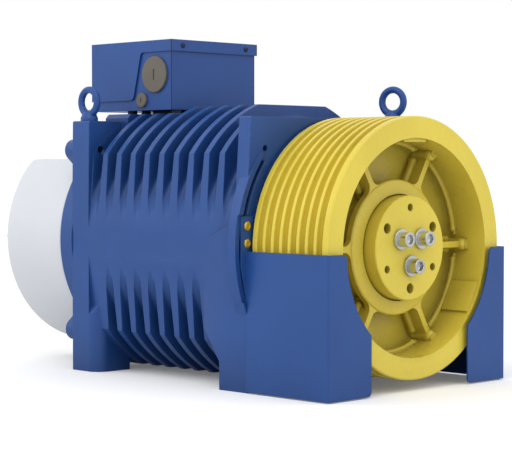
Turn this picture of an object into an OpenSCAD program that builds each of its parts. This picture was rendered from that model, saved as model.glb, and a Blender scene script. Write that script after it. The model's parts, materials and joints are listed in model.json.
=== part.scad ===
// Gearless elevator traction machine: a grooved rope sheave overhung in front of a ribbed
// motor housing on four feet, with a terminal box on top and a twin disc brake at the rear.
// The origin lies on the base plane, midway between the four foot bolts.
// The shaft runs along Y, with the sheave towards -Y and the brake towards +Y.

/* [Base and shaft height] */
// Height of the shaft axis above the base
shaft_h = 225; // [225:1:245]
// Spacing of the foot bolts across the machine
bolt_span_x = 330; // [324:1:336]
// Spacing of the foot bolts along the shaft
bolt_span_y = 370; // [366:1:380]
// Diameter of the foot bolt holes
foot_hole_d = 18; // [14:0.5:22]
// Distance from the front foot bolts to the front face of the housing
front_bolt_set = 35; // [32:1:40]
// Distance from the rear foot bolts to the rear face of the housing
rear_bolt_set = 34; // [30:1:40]
// Length of the front feet along the shaft
front_foot_l = 62; // [58:1:72]
// Length of the rear feet along the shaft
rear_foot_l = 67; // [64:1:76]
// Height of the gap under the housing between its feet
foot_relief = 12; // [9:1:16]
// Half distance between the inner sides of the front feet
front_foot_in = 80; // [60:1:120]
// Half distance between the inner sides of the rear feet
rear_foot_in = 132; // [110:1:140]
// Corner radius of the rear feet
rear_foot_r = 24; // [6:1:24]

/* [Housing] */
// Width of the front flange at its foot
front_flange_w = 426; // [422:1:430]
// Width of the rear flange at its foot
rear_flange_w = 410; // [406:1:416]
// Width of both flanges at their top edge
flange_top_w = 406; // [400:1:408]
// Height of both flange tops above the shaft axis
flange_top = 207; // [205:1:208]
// Height above the axis where the flange sides start to lean in
flange_shoulder = 60; // [20:1:100]
// Thickness of the front flange
front_flange_t = 26; // [24:1:30]
// Thickness of the rear flange
rear_flange_t = 44; // [36:1:48]
// Bore of the housing
bore_d = 380; // [376:1:384]
// Distance between neighbouring cooling ribs
rib_pitch = 36; // [35.5:0.1:38]
// Number of cooling ribs
rib_count = 9; // [7:1:9]
// Thickness of a rib at its crest
rib_t = 11.5; // [8:0.5:12]
// Diameter over the rib crests
rib_d = 489; // [480:1:492]
// Height of the rib crests above the axis
rib_top = 231; // [228:1:234]
// Width over the rib sides at axis height
rib_side_w = 410; // [406:1:412]
// Width over the rib sides where they meet the round crests
rib_corner_w = 386; // [376:1:392]
// Gap between the ribs and the base
belly_gap = 9; // [7:1:12]
// Diameter at the floor of the pockets between the ribs
pocket_floor_d = 414.5; // [412:0.5:419]
// Number of ribs cut down under the terminal box
low_ribs = 3; // [3:1:4]

/* [Front rim] */
// Outer diameter of the curved rims on the front flange
rim_d = 476; // [470:1:478]
// Radial width of the curved rims
rim_w = 9; // [6:0.5:10]
// Width of the curved slots inside the rims
rim_slot_w = 7.5; // [5:0.5:8]
// Depth of the curved slots
rim_slot_depth = 12; // [6:1:15]
// Height of the rims over the flange face
rim_lift = 3; // [1:0.5:3]
// Depth of the rims behind the flange face
rim_back = 17; // [12:1:22]
// Half angle that each rim spans
rim_angle = 40; // [34:1:40]
// Distance of the tapped flange holes from the middle plane
flange_hole_x = 172; // [170:1:175]
// Height of the tapped flange holes above the axis
flange_hole_z = 157; // [154:1:159]
// Distance of the lug screws from the middle plane
lug_x = 177; // [174:1:180]
// Core diameter of the tapped flange holes
flange_hole_d = 10.2; // [8:0.1:11]

/* [Box deck] */
// Height of the deck under the terminal box above the axis
deck_z = 220; // [218:1:222]
// Length of the wide rear part of the deck
deck_l = 60; // [56:1:66]
// Width of the wide rear part of the deck
deck_w = 258; // [240:1:264]
// Width of the narrow front part of the deck
deck_front_w = 180; // [174:1:190]
// Chamfer on the deck ends
deck_chamfer = 7; // [3:1:9]
// Diameter of the cable passage through the deck
cable_hole_d = 40; // [30:1:44]

/* [Bearing shields] */
// Diameter of the front shield flange
front_shield_d = 412; // [410:1:414]
// Thickness of the front shield flange
front_shield_t = 16; // [15:1:18]
// Length of the front shield hub behind the flange face
front_hub_l = 62; // [58:1:66]
// Diameter of the front shield hub
front_hub_d = 262; // [250:1:270]
// Diameter of the rear shield
rear_shield_d = 414; // [408:1:418]
// Thickness of the rear shield
rear_shield_t = 31; // [30:1:36]
// Radius of the lugs at the corners of the rear shield
lug_r = 19; // [17:0.5:20]
// Diameter of the rear shield hub
rear_hub_d = 200; // [190:1:220]
// Length of the rear shield hub inside the housing
rear_hub_l = 22; // [16:1:26]
// Size of the shield screws
shield_screw_d = 8; // [6:1:8]
// Number of front shield screws
shield_screws = 8; // [6:1:12]
// Size of the lug screws
lug_screw_d = 16; // [12:1:16]

/* [Shaft and bearings] */
// Diameter of the shaft under the sheave
sheave_seat_d = 100; // [90:1:104]
// Diameter of the shaft under the front bearing and its seal
front_seat_d = 120; // [112:1:124]
// Outer diameter of the front bearing
front_bearing_d = 215; // [205:1:220]
// Width of the front bearing
front_bearing_w = 40; // [36:1:42]
// Number of rollers in the front bearing
roller_count = 14; // [12:1:15]
// Diameter of the shaft under the rotor
rotor_seat_d = 134; // [130:1:140]
// Diameter of the shaft under the rear bearing
rear_seat_d = 90; // [84:1:94]
// Outer diameter of the rear bearing
rear_bearing_d = 160; // [154:1:164]
// Width of the rear bearing
rear_bearing_w = 30; // [26:1:32]
// Number of balls in the rear bearing
ball_count = 10; // [8:1:11]
// Outer diameter of the shaft seal
seal_d = 150; // [144:1:156]
// Width of the shaft seal
seal_w = 12; // [8:1:12]

/* [Motor] */
// Length of the stator core
core_l = 250; // [230:2:260]
// Distance from the front flange face to the stator core
core_set = 91; // [88:1:96]
// Inner diameter of the stator core
core_bore_d = 304; // [300:1:310]
// Air gap between the magnets and the stator core
air_gap = 1.2; // [0.8:0.1:2]
// Number of stator slots
slot_count = 36; // [24:6:36]
// Depth of a stator slot
slot_depth = 22; // [16:1:24]
// Width of a stator slot
slot_w = 9; // [6:0.5:11]
// Length of each winding head beyond the core
winding_head_l = 28; // [20:1:30]
// Number of magnet poles
pole_count = 20; // [12:2:24]
// Thickness of the magnets
magnet_t = 6; // [4:0.5:8]
// Gap between neighbouring magnets
pole_gap = 6; // [3:0.5:8]
// Wall thickness of the rotor drum
drum_wall = 14; // [10:1:18]
// Thickness of the rotor drum web
drum_web_t = 24; // [18:1:30]

/* [Sheave] */
// Outer diameter of the sheave over the groove crests
sheave_d = 416; // [410:1:418]
// Width of the sheave
sheave_w = 160; // [156:1:172]
// Gap between the sheave and the housing
sheave_gap = 6; // [6:0.5:12]
// Number of rope grooves
groove_count = 8; // [4:1:8]
// Distance between rope grooves
groove_pitch = 18; // [17:0.5:18.5]
// Diameter of the ropes that the grooves take
rope_d = 10; // [8:0.5:10]
// Pitch circle diameter of the ropes
rope_pcd = 400; // [398:1:402]
// Width of the undercut at the bottom of a groove
undercut_w = 5.6; // [3:0.2:6]
// Depth of the undercut below the rope seat
undercut_depth = 3; // [2:0.5:4]
// Inner diameter of the rim face
rim_face_bore_d = 346.6; // [340:1:350]
// Depth of the machined part of the rim bore
rim_bore_depth = 60; // [56:1:64]
// Thickness of the bead round the rim wall behind its machined part
bead_t = 7; // [4:0.5:9]
// Distance from the sheave front to the floor between the spokes
web_floor = 78; // [74:1:84]
// Thickness of the rear web
web_t = 14; // [10:1:18]
// Distance from the sheave front to the front face of the spokes
spoke_set = 44; // [40:1:48]
// Number of spokes
spoke_count = 6; // [5:1:6]
// Thickness of a spoke
spoke_t = 10; // [7:0.5:12]
// Diameter of the disc that the spokes spring from
spoke_disc_d = 216; // [208:1:224]
// Thickness of the disc that the spokes spring from
spoke_disc_t = 12; // [8:1:16]
// Diameter of the hub face
hub_d = 165.6; // [162:0.4:172]
// Set-back of the hub face from the sheave front
hub_set = 14; // [10:1:18]
// Thickness of the hub wall in front of the shaft end
hub_wall = 22; // [18:1:26]
// Length of the hub from its face to its rear end
hub_l = 138; // [130:1:142]
// Pitch circle diameter of the puller and location holes
hub_hole_pcd = 128; // [124:1:132]
// Diameter of the three large hub holes
hub_large_hole_d = 16.5; // [12:0.5:18]
// Diameter of the three small hub holes
hub_small_hole_d = 12.5; // [8:0.5:14]
// Depth of the hub holes
hub_hole_depth = 34; // [26:1:40]
// Pitch circle diameter of the sheave screws
sheave_screw_pcd = 57; // [52:1:60]
// Size of the sheave screws
sheave_screw_d = 16; // [12:1:16]
// Diameter of the sheave screw washers
washer_d = 33; // [30:1:34]
// Thickness of the sheave screw washers
washer_t = 5; // [3:0.5:6]
// Width of the balance pads on the rim wall
pad_w = 54; // [40:1:60]
// Inset of the balance pads from the rim wall
pad_lift = 4; // [1:0.5:5]

/* [Rope guards] */
// Distance between the outer sides of the rope guards
guard_w = 431; // [430:1:436]
// Sheet thickness of the rope guards
guard_t = 2.5; // [2:0.5:3]
// Height of the rope guard tops relative to the axis
guard_top = -3.6; // [-12:0.2:-2]
// Gap between the rope guards and the base
guard_foot_gap = 2; // [1:0.5:4]
// Gap between the sheave front and the guard front panels
guard_front_gap = 9.2; // [7:0.2:14]
// Bend radius of the rope guards
guard_bend_r = 3; // [3:0.5:12]
// Half distance between the inner edges of the guard front panels
guard_inner = 118; // [100:1:130]
// Radius of the round cut-out in the guard front panels
guard_cut_r = 175; // [172:1:178]
// Corner radius at the foot of the guard front panels
guard_corner_r = 8; // [4:1:12]
// Width of the guard fixing tabs
guard_tab_w = 26; // [24:1:28]
// Height of the guard fixing tabs above the axis
guard_tab_top = 51; // [48:1:56]
// Depth of the guard fixing tabs below the axis
guard_tab_foot = 57; // [40:1:70]
// Head diameter of the guard screws
guard_screw_head_d = 15; // [12:1:16]
// Spacing of the guard screws
guard_screw_span = 27; // [22:1:30]

/* [Terminal box] */
// Width of the terminal box lid
box_w = 207.4; // [196:0.2:214]
// Length of the terminal box lid
box_l = 212.8; // [206:0.2:220]
// Distance from the front flange face to the terminal box lid
box_set = 294.6; // [290:0.2:298]
// Height from the box floor to the top of the lid
box_h = 120.8; // [112:0.2:130]
// Height of the spacers under the terminal box
spacer_h = 6.3; // [5:0.1:12]
// Sheet thickness of the terminal box
box_t = 2; // [1.5:0.5:2.5]
// Gap between the lid sides and the box sides
lid_lap = 1.3; // [0.5:0.1:2]
// Depth of the lid edge at the front
lid_edge = 20; // [16:1:24]
// Depth of the lid sides at the rear
lid_drop = 103; // [90:1:104]
// Distance from the lid front to the foot of the slanted side seam
seam_foot = 100; // [92:1:106]
// Distance from the lid front to the top of the slanted side seam
seam_top = 78; // [74:1:84]
// Diameter of the large blanking plug
large_plug_d = 63; // [50:1:63]
// Diameter of the small blanking plug
small_plug_d = 25.6; // [20:0.2:28]
// Height of the large plug above the box floor
large_plug_z = 61.7; // [56:0.1:66]
// Height of the small plug above the box floor
small_plug_z = 18.1; // [16:0.1:22]
// Distance from the lid front to the large plug
large_plug_set = 44.4; // [42:0.2:46]
// Distance from the lid front to the small plug
small_plug_set = 78.2; // [74:0.2:80]
// Distance from the lid front to the terminal block
block_set = 138; // [137:1:148]

/* [Lifting eyes] */
// Outer diameter of an eyebolt ring
eye_d = 54; // [48:1:56]
// Diameter of the steel of an eyebolt ring
eye_t = 12; // [9:0.5:12.5]
// Thread size of an eyebolt
eye_thread_d = 12; // [10:1:12]
// Diameter of an eyebolt collar
eye_collar_d = 30; // [26:1:32]
// Height of an eyebolt collar
eye_collar_h = 9; // [7:0.5:11]
// Distance of the eyebolts from the middle plane
eye_x = 186; // [180:1:188]

/* [Brake] */
// Outer diameter of the brake cover
cover_d = 389.4; // [380:0.2:396]
// Length of the brake cover
cover_l = 166; // [162:1:176]
// Wall thickness of the brake cover
cover_t = 2.5; // [2:0.1:3]
// Gap between the brake magnets and the brake cover
brake_gap = 17.2; // [14:0.2:20]
// Length of a brake magnet
magnet_l = 35; // [30:1:36]
// Thickness of a friction disc
friction_t = 12; // [9:0.5:13]
// Gap between a friction disc and the sleeves of the brake studs
disc_gap = 3; // [2:0.5:12]
// Thickness of an armature plate
armature_t = 12; // [9:0.5:13]
// Release stroke of an armature plate
stroke = 0.5; // [0.3:0.05:0.6]
// Thickness of the plate between the two brakes
mid_plate_t = 10; // [8:0.5:11]
// Distance from the brake stud axes to the edge of the brake magnets
stud_edge = 17; // [15:0.5:18]
// Thread size of the brake studs
brake_stud_d = 12; // [10:1:12]
// Number of springs in each brake
spring_count = 8; // [6:1:9]
// Diameter of a brake spring
spring_d = 12; // [9:0.5:13]
// Diameter of the shaft under the brake hub
brake_seat_d = 75; // [70:1:80]
// Diameter of the encoder
encoder_d = 58; // [50:1:66]
// Diameter of the encoder shaft stub
encoder_stub_d = 20; // [12:1:24]

/* [Hidden] */
// Radial clearance of a close fit
fit = 0.05;
// Radial clearance of a guide that slides
slip = 0.1;
// Clearance kept by parts that only pass each other
run = 0.3;
// Overrun of a cut past the face that it opens
over = 1;

// Stations along the shaft
front_y = -bolt_span_y / 2 - front_bolt_set;
rear_y = bolt_span_y / 2 + rear_bolt_set;
barrel_y0 = front_y + front_flange_t;
barrel_y1 = rear_y - rear_flange_t;
sheave_y1 = front_y - sheave_gap;
sheave_y0 = sheave_y1 - sheave_w;
shield_y = rear_y + rear_shield_t;

// Ribs and pockets
rear_rib_set = 32;
rib_y1 = barrel_y1 - rear_rib_set;
rib_y0 = rib_y1 - (rib_count - 1) * rib_pitch;
rib_corner_z = sqrt(pow(rib_d / 2, 2) - pow(rib_corner_w / 2, 2));
rib_bottom = shaft_h - belly_gap;
rib_foot_x = sqrt(pow(rib_d / 2, 2) - pow(rib_bottom, 2));
rib_foot_a = atan2(-rib_bottom, rib_foot_x);
rib_low_a = atan2(-rib_corner_z, rib_corner_w / 2);
rib_crest_x = sqrt(pow(rib_d / 2, 2) - pow(rib_top, 2));
rib_crest_a = atan2(rib_top, rib_crest_x);
rib_side_h = 24;
pocket_r = 9;
pocket_draft = 2.5;
relief_r = 8;
buttress_l = 108;
deck_y0 = rib_y1 - (low_ribs - 1) * rib_pitch - rib_t / 2;
front_eye_y = barrel_y0 + eye_collar_d / 2 + 3;
rear_eye_y = barrel_y1 + 20;
eye_shank_l = 20;
front_eye_turn = 11;

// Bearings, shields and shaft
cap_t = 8;
front_bearing_y0 = front_y + front_hub_l - front_bearing_w - cap_t;
rear_bearing_y0 = rear_y - 4;
shield_screw_pcd = bore_d + 14;
shield_screw_l = 36;
shield_head_h = 8;
lug_head_h = lug_screw_d;
lug_thread_l = 30;
lug_core_r = 0.43 * lug_screw_d;
front_roller_r = 13;
front_race_r = (front_seat_d + front_bearing_d) / 4;
rear_ball_r = 11;
rear_race_r = (rear_seat_d + rear_bearing_d) / 4;
shaft_y0 = sheave_y0 + hub_set + hub_wall;
shoulder_y = sheave_y0 + hub_set + hub_l;
drum_y0 = front_y + core_set;
drum_hub_set = 30;
magnet_r = core_bore_d / 2 - air_gap;
rear_seat_y = rear_y - rear_hub_l - 3;
brake_seat_y = rear_bearing_y0 + rear_bearing_w + 2;
key_w = 28;
key_h = 16;
key_l = 90;
key_y = shaft_y0 + 10;
key_z1 = sheave_seat_d / 2 + key_h / 2 - 2;

// Sheave
sheave_r = sheave_d / 2;
groove_edge = (sheave_w - groove_count * groove_pitch) / 2;
rope_r = rope_d / 2;
flank_a = 50;
column_r = 8.5;
column_lift = 9;
foot_bead_r = 6.2;

// Rope guards
guard_x = guard_w / 2;
guard_y0 = sheave_y0 - guard_front_gap;
guard_foot = -shaft_h + guard_foot_gap;
tab_x1 = guard_x + 11.5;
tab_x0 = tab_x1 - guard_tab_w;
guard_screw_x = guard_x - 2;
guard_screw_d = 8;
guard_screw_z = [9, 9 + guard_screw_span];

// Terminal box
box_y0 = front_y + box_set;
box_y1 = box_y0 + box_l;
box_z0 = deck_z + spacer_h;
lid_in = box_t + lid_lap;
duct_y = rear_y - deck_l - 6;
box_screw_d = 8;
box_screw_grip = 16;
box_front_y = box_y0 + lid_in + box_t + box_screw_d;
box_rear_y = rear_y - 16;
box_foot_at = [[-80, box_front_y], [80, box_front_y], [-80, box_rear_y], [80, box_rear_y],
               [-48, box_rear_y], [48, box_rear_y]];
spacer_r = 8.5;
gasket_r = 57;
large_plug_y = box_y0 + large_plug_set;
small_plug_y = box_y0 + small_plug_set;
lid_screw_x = [-76, 76];
lid_screw_d = 5;
lid_screw_z = box_z0 + box_h - lid_edge / 2;
lid_screw_head_r = 4.4;

// Brake, from the rear shield backwards
travel_margin = 0.3;
disc_1_y = shield_y + run;
armature_1_y = disc_1_y + friction_t + run;
magnet_1_y = armature_1_y + armature_t + stroke + travel_margin;
mid_y = magnet_1_y + magnet_l;
disc_2_y = mid_y + mid_plate_t + run;
armature_2_y = disc_2_y + friction_t + run;
magnet_2_y = armature_2_y + armature_t + stroke + travel_margin;
brake_end_y = magnet_2_y + magnet_l;
hub_flat_d = 100;
sleeve_r = 10;
brake_d = cover_d - 2 * (cover_t + brake_gap);
brake_stud_pcd = brake_d - 2 * stud_edge;
friction_d = brake_stud_pcd - 2 * (sleeve_r + disc_gap);
brake_bore_d = 124;
friction_face_w = 48;
spring_pcd = 240;
spring_hole_l = 22;
coil_r0 = 74;
coil_r1 = 100;
coil_l = 20;
encoder_y = brake_end_y + 6;
encoder_l = 22;
encoder_flange_d = brake_bore_d + 36;
shaft_y1 = encoder_y + 16;
cover_spigot = 10;
cover_screw_d = 5;
cover_plug_at = [-187, 2];
cover_plug_r = 4.5;
cover_plug_l = 10;

$fn = 96;

// ---- placing helpers ---------------------------------------------------------------

// Carries a profile drawn as [x, height over the axis] from y0 to y1.
module slab(y0, y1) {
    translate([0, y1, shaft_h]) rotate([90, 0, 0]) linear_extrude(y1 - y0) children();
}

// Turns a profile drawn as [radius, distance behind y0] about the shaft axis.
module turned(y0) {
    translate([0, y0, shaft_h]) rotate([-90, 0, 0]) rotate_extrude() children();
}

// A round bar along the shaft, at [x, z] from the axis.
module bar_y(x, z, r, y0, y1) {
    translate([x, y0, shaft_h + z]) rotate([-90, 0, 0]) cylinder(r = r, h = y1 - y0);
}

// A round bar straight up, between two heights over the axis.
module bar_z(x, y, r, z0, z1) {
    translate([x, y, shaft_h + z0]) cylinder(r = r, h = z1 - z0);
}

// A block between two corners given over the axis.
module block(a, b) {
    translate([a[0], a[1], shaft_h + a[2]]) cube([b[0] - a[0], b[1] - a[1], b[2] - a[2]]);
}

// Copies on a bolt circle about the shaft, the first at angle a0.
module around(n, pcd, a0) {
    for (i = [0:n - 1])
        translate([pcd / 2 * cos(a0 + i * 360 / n), 0, pcd / 2 * sin(a0 + i * 360 / n)])
            children();
}

// Copies turned about the shaft axis, the first by angle a0.
module spun(n, a0) {
    for (i = [0:n - 1])
        translate([0, 0, shaft_h]) rotate([0, -a0 - i * 360 / n, 0]) translate([0, 0, -shaft_h])
            children();
}

module both_sides() {
    children();
    mirror([1, 0, 0]) children();
}

// Points on an arc about [cx, cy].
function arc(cx, cy, r, a0, a1, n) =
    [for (i = [0:n]) [cx + r * cos(a0 + (a1 - a0) * i / n), cy + r * sin(a0 + (a1 - a0) * i / n)]];

function mirrored(half) =
    concat(half, [for (i = [len(half) - 1:-1:0]) [-half[i][0], half[i][1]]]);

// ---- housing -----------------------------------------------------------------------

function flange_outline(foot_w, foot_in) = mirrored(concat(
    [[0, flange_top], [flange_top_w / 2 - 2, flange_top], [flange_top_w / 2, flange_top - 2],
     [foot_w / 2, flange_shoulder], [foot_w / 2, -shaft_h], [foot_in, -shaft_h]],
    arc(foot_in - relief_r, -shaft_h + foot_relief - relief_r, relief_r, 0, 90, 5)));

rib_outline = mirrored(concat(
    arc(0, 0, rib_d / 2, rib_crest_a, -rib_low_a, 12),
    [[rib_side_w / 2, rib_side_h], [rib_side_w / 2, -rib_side_h]],
    arc(0, 0, rib_d / 2, rib_low_a, rib_foot_a, 8)));

// Profile of the pocket between two ribs: w wide at the crests, narrower at its rounded floor.
module pocket_profile(w) {
    floor_r = pocket_floor_d / 2;
    out_r = rib_d / 2 + 6;
    out_w = w / 2 + pocket_draft * 6 / (rib_d / 2 - floor_r);
    floor_w = w / 2 - pocket_draft;
    polygon(concat(
        [[out_r, -out_w], [out_r, out_w]],
        arc(floor_r + pocket_r, floor_w - pocket_r, pocket_r, 90, 180, 5),
        arc(floor_r + pocket_r, -floor_w + pocket_r, pocket_r, 180, 270, 5)));
}

module pocket(y, w) {
    turned(y) pocket_profile(w);
}

module barrel() {
    pocket_w = rib_pitch - rib_t;
    difference() {
        slab(barrel_y0, barrel_y1) polygon(rib_outline);
        for (i = [0:rib_count - 2]) pocket(rib_y0 + (i + 0.5) * rib_pitch, pocket_w);
        front_gap = rib_y0 - rib_t / 2 - barrel_y0;
        pocket(barrel_y0 + front_gap / 2, front_gap);
        rear_gap = barrel_y1 - rib_y1 - rib_t / 2;
        pocket(barrel_y1 - rear_gap / 2, rear_gap);
        low_y = rib_y1 - (low_ribs - 0.5) * rib_pitch;
        block([-rib_d / 2, low_y, deck_z], [rib_d / 2, barrel_y1 + over, rib_top + over]);
        block([-rib_d / 2, barrel_y0 - over, flange_top],
              [rib_d / 2, rib_y0 + rib_pitch / 2, rib_top + over]);
    }
}

module deck() {
    deck_foot = pocket_floor_d / 2 - 6;
    slab(rear_y - deck_l, rear_y)
        polygon(mirrored([[0, deck_z], [deck_w / 2 - deck_chamfer, deck_z],
                          [deck_w / 2, deck_z - deck_chamfer], [deck_w / 2, flange_top - 40]]));
    slab(deck_y0, rear_y - deck_l + over)
        polygon([[-deck_front_w / 2, deck_z], [deck_front_w / 2, deck_z],
                 [deck_front_w / 2, deck_foot - 8], [-deck_front_w / 2, deck_foot - 8]]);
}

// Boss behind the front flange that holds the front eyebolt.
module eye_boss() {
    boss_r = eye_collar_d / 2 + 2;
    boss_z = flange_top - 87;
    bar_z(eye_x, front_eye_y, boss_r, boss_z, flange_top);
    block([eye_x - boss_r, barrel_y0 - over, boss_z], [eye_x + boss_r, front_eye_y, flange_top]);
}

// A solid seen from the side, as points [y, height over the axis], between x0 and x1.
module side_slab(x0, x1) {
    translate([x0, 0, shaft_h]) rotate([90, 0, 90]) linear_extrude(x1 - x0) children();
}

// The foot block that runs back from the front flange and closes the pockets above it.
module front_feet() {
    foot_y = front_y + front_foot_l;
    end_y = front_y + buttress_l;
    x1 = front_flange_w / 2;
    both_sides() intersection() {
        slab(barrel_y0 - over, end_y)
            polygon([[x1 + over, flange_shoulder], [x1 + over, -shaft_h], [front_foot_in, -shaft_h],
                     [front_foot_in, -shaft_h + foot_relief + relief_r], [bore_d / 2 + 8, -60],
                     [bore_d / 2 + 8, flange_shoulder]]);
        translate([0, 0, -over]) linear_extrude(shaft_h + flange_shoulder)
            polygon([[0, barrel_y0 - over], [x1, barrel_y0 - over], [x1, foot_y],
                     [rib_side_w / 2 - 2, end_y], [0, end_y]]);
        side_slab(0, x1 + over)
            polygon([[barrel_y0 - over, flange_shoulder], [barrel_y0, flange_shoulder - 20], [end_y, 10],
                     [end_y, -rib_corner_z + 20], [foot_y, -shaft_h + 45], [foot_y, -shaft_h],
                     [barrel_y0 - over, -shaft_h]]);
    }
}

// The wall that closes the rearmost pocket below the axis.
module rear_fill() {
    intersection() {
        slab(rib_y1, barrel_y1 + over) polygon(rib_outline);
        block([-rib_d / 2, rib_y1, -shaft_h], [rib_d / 2, barrel_y1 + over, -rib_side_h]);
    }
}

// The foot block that runs forward from the rear flange, round at its outer corner.
module rear_feet() {
    foot_y0 = rear_y - rear_foot_l;
    x1 = rear_flange_w / 2;
    top_z = -shaft_h + 117;
    both_sides() intersection() {
        linear_extrude(shaft_h + top_z + 40)
            polygon(concat([[rear_foot_in, barrel_y1 + over], [rear_foot_in, foot_y0]],
                arc(x1 - rear_foot_r, foot_y0 + rear_foot_r, rear_foot_r, -90, 0, 8),
                [[x1, barrel_y1 + over]]));
        slab(foot_y0 - over, barrel_y1 + 2 * over)
            polygon([[rear_foot_in, -shaft_h], [x1 + over, -shaft_h], [x1 + over, top_z - 20],
                     [x1 - 30, top_z + 40], [rear_foot_in, -rib_corner_z]]);
    }
}

// The two curved rims that stand out at the sides of the front flange.
module front_rims() {
    a = rim_angle;
    slab(front_y - rim_lift, front_y + rim_back) both_sides_2d()
        polygon(concat(arc(0, 0, rim_d / 2, -a, a, 24), arc(0, 0, rim_d / 2 - rim_w, a, -a, 24)));
    slab(front_y, front_y + rim_back) both_sides_2d()
        polygon(concat(arc(0, 0, rim_d / 2 - rim_w / 2, -a, a, 24), [[bore_d / 2 + 4, 60],
                       [bore_d / 2 + 4, -60]]));
}
module both_sides_2d() {
    children();
    mirror([1, 0]) children();
}

// The curved slots just inside the rims.
module rim_slots() {
    r_mid = rim_d / 2 - rim_w - rim_slot_w / 2;
    a = rim_angle - 2;
    slab(front_y - over, front_y + rim_slot_depth) both_sides_2d() union() {
        polygon(concat(arc(0, 0, r_mid + rim_slot_w / 2, -a, a, 24),
                       arc(0, 0, r_mid - rim_slot_w / 2, a, -a, 24)));
    }
}

module stator_housing() {
    color("#3f5d9b") difference() {
        union() {
            slab(front_y, barrel_y0) polygon(flange_outline(front_flange_w, front_foot_in));
            slab(barrel_y1, rear_y) polygon(flange_outline(rear_flange_w, rear_foot_in));
            barrel();
            deck();
            eye_boss();
            front_feet();
            rear_feet();
            rear_fill();
            front_rims();
        }
        rim_slots();
        both_sides() {
            block([tab_x0 - run, front_y - rim_lift - over, -guard_tab_foot - 26],
                  [rim_d / 2 + over, front_y, guard_tab_top + 2]);
            block([tab_x0 - run, front_y - rim_lift - over, -rim_d / 2],
                  [guard_x + run, front_y, -guard_tab_foot]);
        }
        bar_y(0, 0, bore_d / 2, front_y - over, rear_y + over);
        bar_y(0, 0, front_shield_d / 2 + fit, front_y - rim_lift - over, front_y + front_shield_t);
        both_sides() {
            bar_y(flange_hole_x, flange_hole_z, flange_hole_d / 2,
                  front_y - rim_lift - over, barrel_y0 + over);
            bar_y(lug_x, flange_hole_z, lug_screw_d / 2 + fit, rear_y - lug_thread_l, rear_y + over);
            bar_y(lug_x, flange_hole_z, lug_core_r, barrel_y1 - over, rear_y);
            bar_y(lug_x, -flange_hole_z, lug_screw_d / 2 + fit, rear_y - lug_thread_l, rear_y + over);
            for (y = [-bolt_span_y / 2, bolt_span_y / 2])
                bar_z(bolt_span_x / 2, y, foot_hole_d / 2, -shaft_h - over, -shaft_h + 60);
        }
        around(shield_screws, shield_screw_pcd, 22.5)
            bar_y(0, 0, shield_screw_d / 2 + fit, front_y, front_y + shield_screw_l + over);
        bar_z(eye_x, front_eye_y, eye_thread_d / 2 + fit, flange_top - eye_shank_l - over,
              flange_top + over);
        bar_z(-eye_x, rear_eye_y, eye_thread_d / 2 + fit, flange_top - eye_shank_l - over,
              flange_top + over);
        bar_z(0, duct_y, cable_hole_d / 2, 0, deck_z + over);
        box_feet() bar_z(0, 0, box_screw_d / 2 + fit, deck_z - box_screw_grip, deck_z + over);
        both_sides() for (z = guard_screw_z)
            bar_y(guard_screw_x, z, guard_screw_d / 2 + fit, front_y - over, front_y + 14);
    }
}

// ---- bearing shields ---------------------------------------------------------------

module front_shield() {
    web_y = front_shield_t + 10;
    color("#35528c") difference() {
        turned(front_y) polygon([
            [front_seat_d / 2 + 4, 0], [front_shield_d / 2, 0], [front_shield_d / 2, front_shield_t],
            [bore_d / 2 - fit, front_shield_t], [bore_d / 2 - fit, web_y],
            [bore_d / 2 - 14, web_y], [bore_d / 2 - 14, front_shield_t + 2],
            [front_hub_d / 2 + 10, front_shield_t - 2], [front_hub_d / 2, front_shield_t + 8],
            [front_hub_d / 2, front_hub_l - cap_t], [front_bearing_d / 2 + fit, front_hub_l - cap_t],
            [front_bearing_d / 2 + fit, front_hub_l - cap_t - front_bearing_w],
            [seal_d / 2 + 6, front_hub_l - cap_t - front_bearing_w],
            [seal_d / 2 + 6, seal_w + 1.5], [seal_d / 2 + fit, seal_w + 1.5], [seal_d / 2 + fit, 1.5],
            [front_seat_d / 2 + 4, 1.5]]);
        around(shield_screws, shield_screw_pcd, 22.5) {
            bar_y(0, 0, shield_screw_d / 2 + 0.5, front_y - over, front_y + front_shield_t + over);
            bar_y(0, 0, shield_screw_d * 0.75 + 0.5, front_y - over, front_y + shield_head_h + 0.5);
        }
    }
}

// A socket head cap screw pointing to +Y from under its head at y0.
module cap_screw(d, l, y0, head_h) {
    difference() {
        union() {
            bar_y(0, 0, d * 0.75, y0 - head_h, y0);
            bar_y(0, 0, d / 2, y0 - over, y0 + l);
        }
        translate([0, y0 - head_h - over, shaft_h]) rotate([-90, 0, 0])
            cylinder(d = d * 0.92, h = head_h * 0.55 + over, $fn = 6);
    }
}

module front_shield_screws() {
    color("#9aa0a8") around(shield_screws, shield_screw_pcd, 22.5)
        cap_screw(shield_screw_d, shield_screw_l - shield_head_h - 0.5,
                  front_y + shield_head_h + 0.5, shield_head_h);
}

module lug_plate(y0, y1, r) {
    slab(y0, y1) {
        circle(r = rear_shield_d / 2);
        for (sx = [-1, 1], sz = [-1, 1]) lug_2d(sx * lug_x, sz * flange_hole_z, r);
    }
}

module lug_2d(x, z, r) {
    translate([x, z]) circle(r = r);
    inner = rear_shield_d / 2 - 30;
    rotate(atan2(z, x)) translate([inner, -r]) square([norm([x, z]) - inner, 2 * r]);
}

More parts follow.
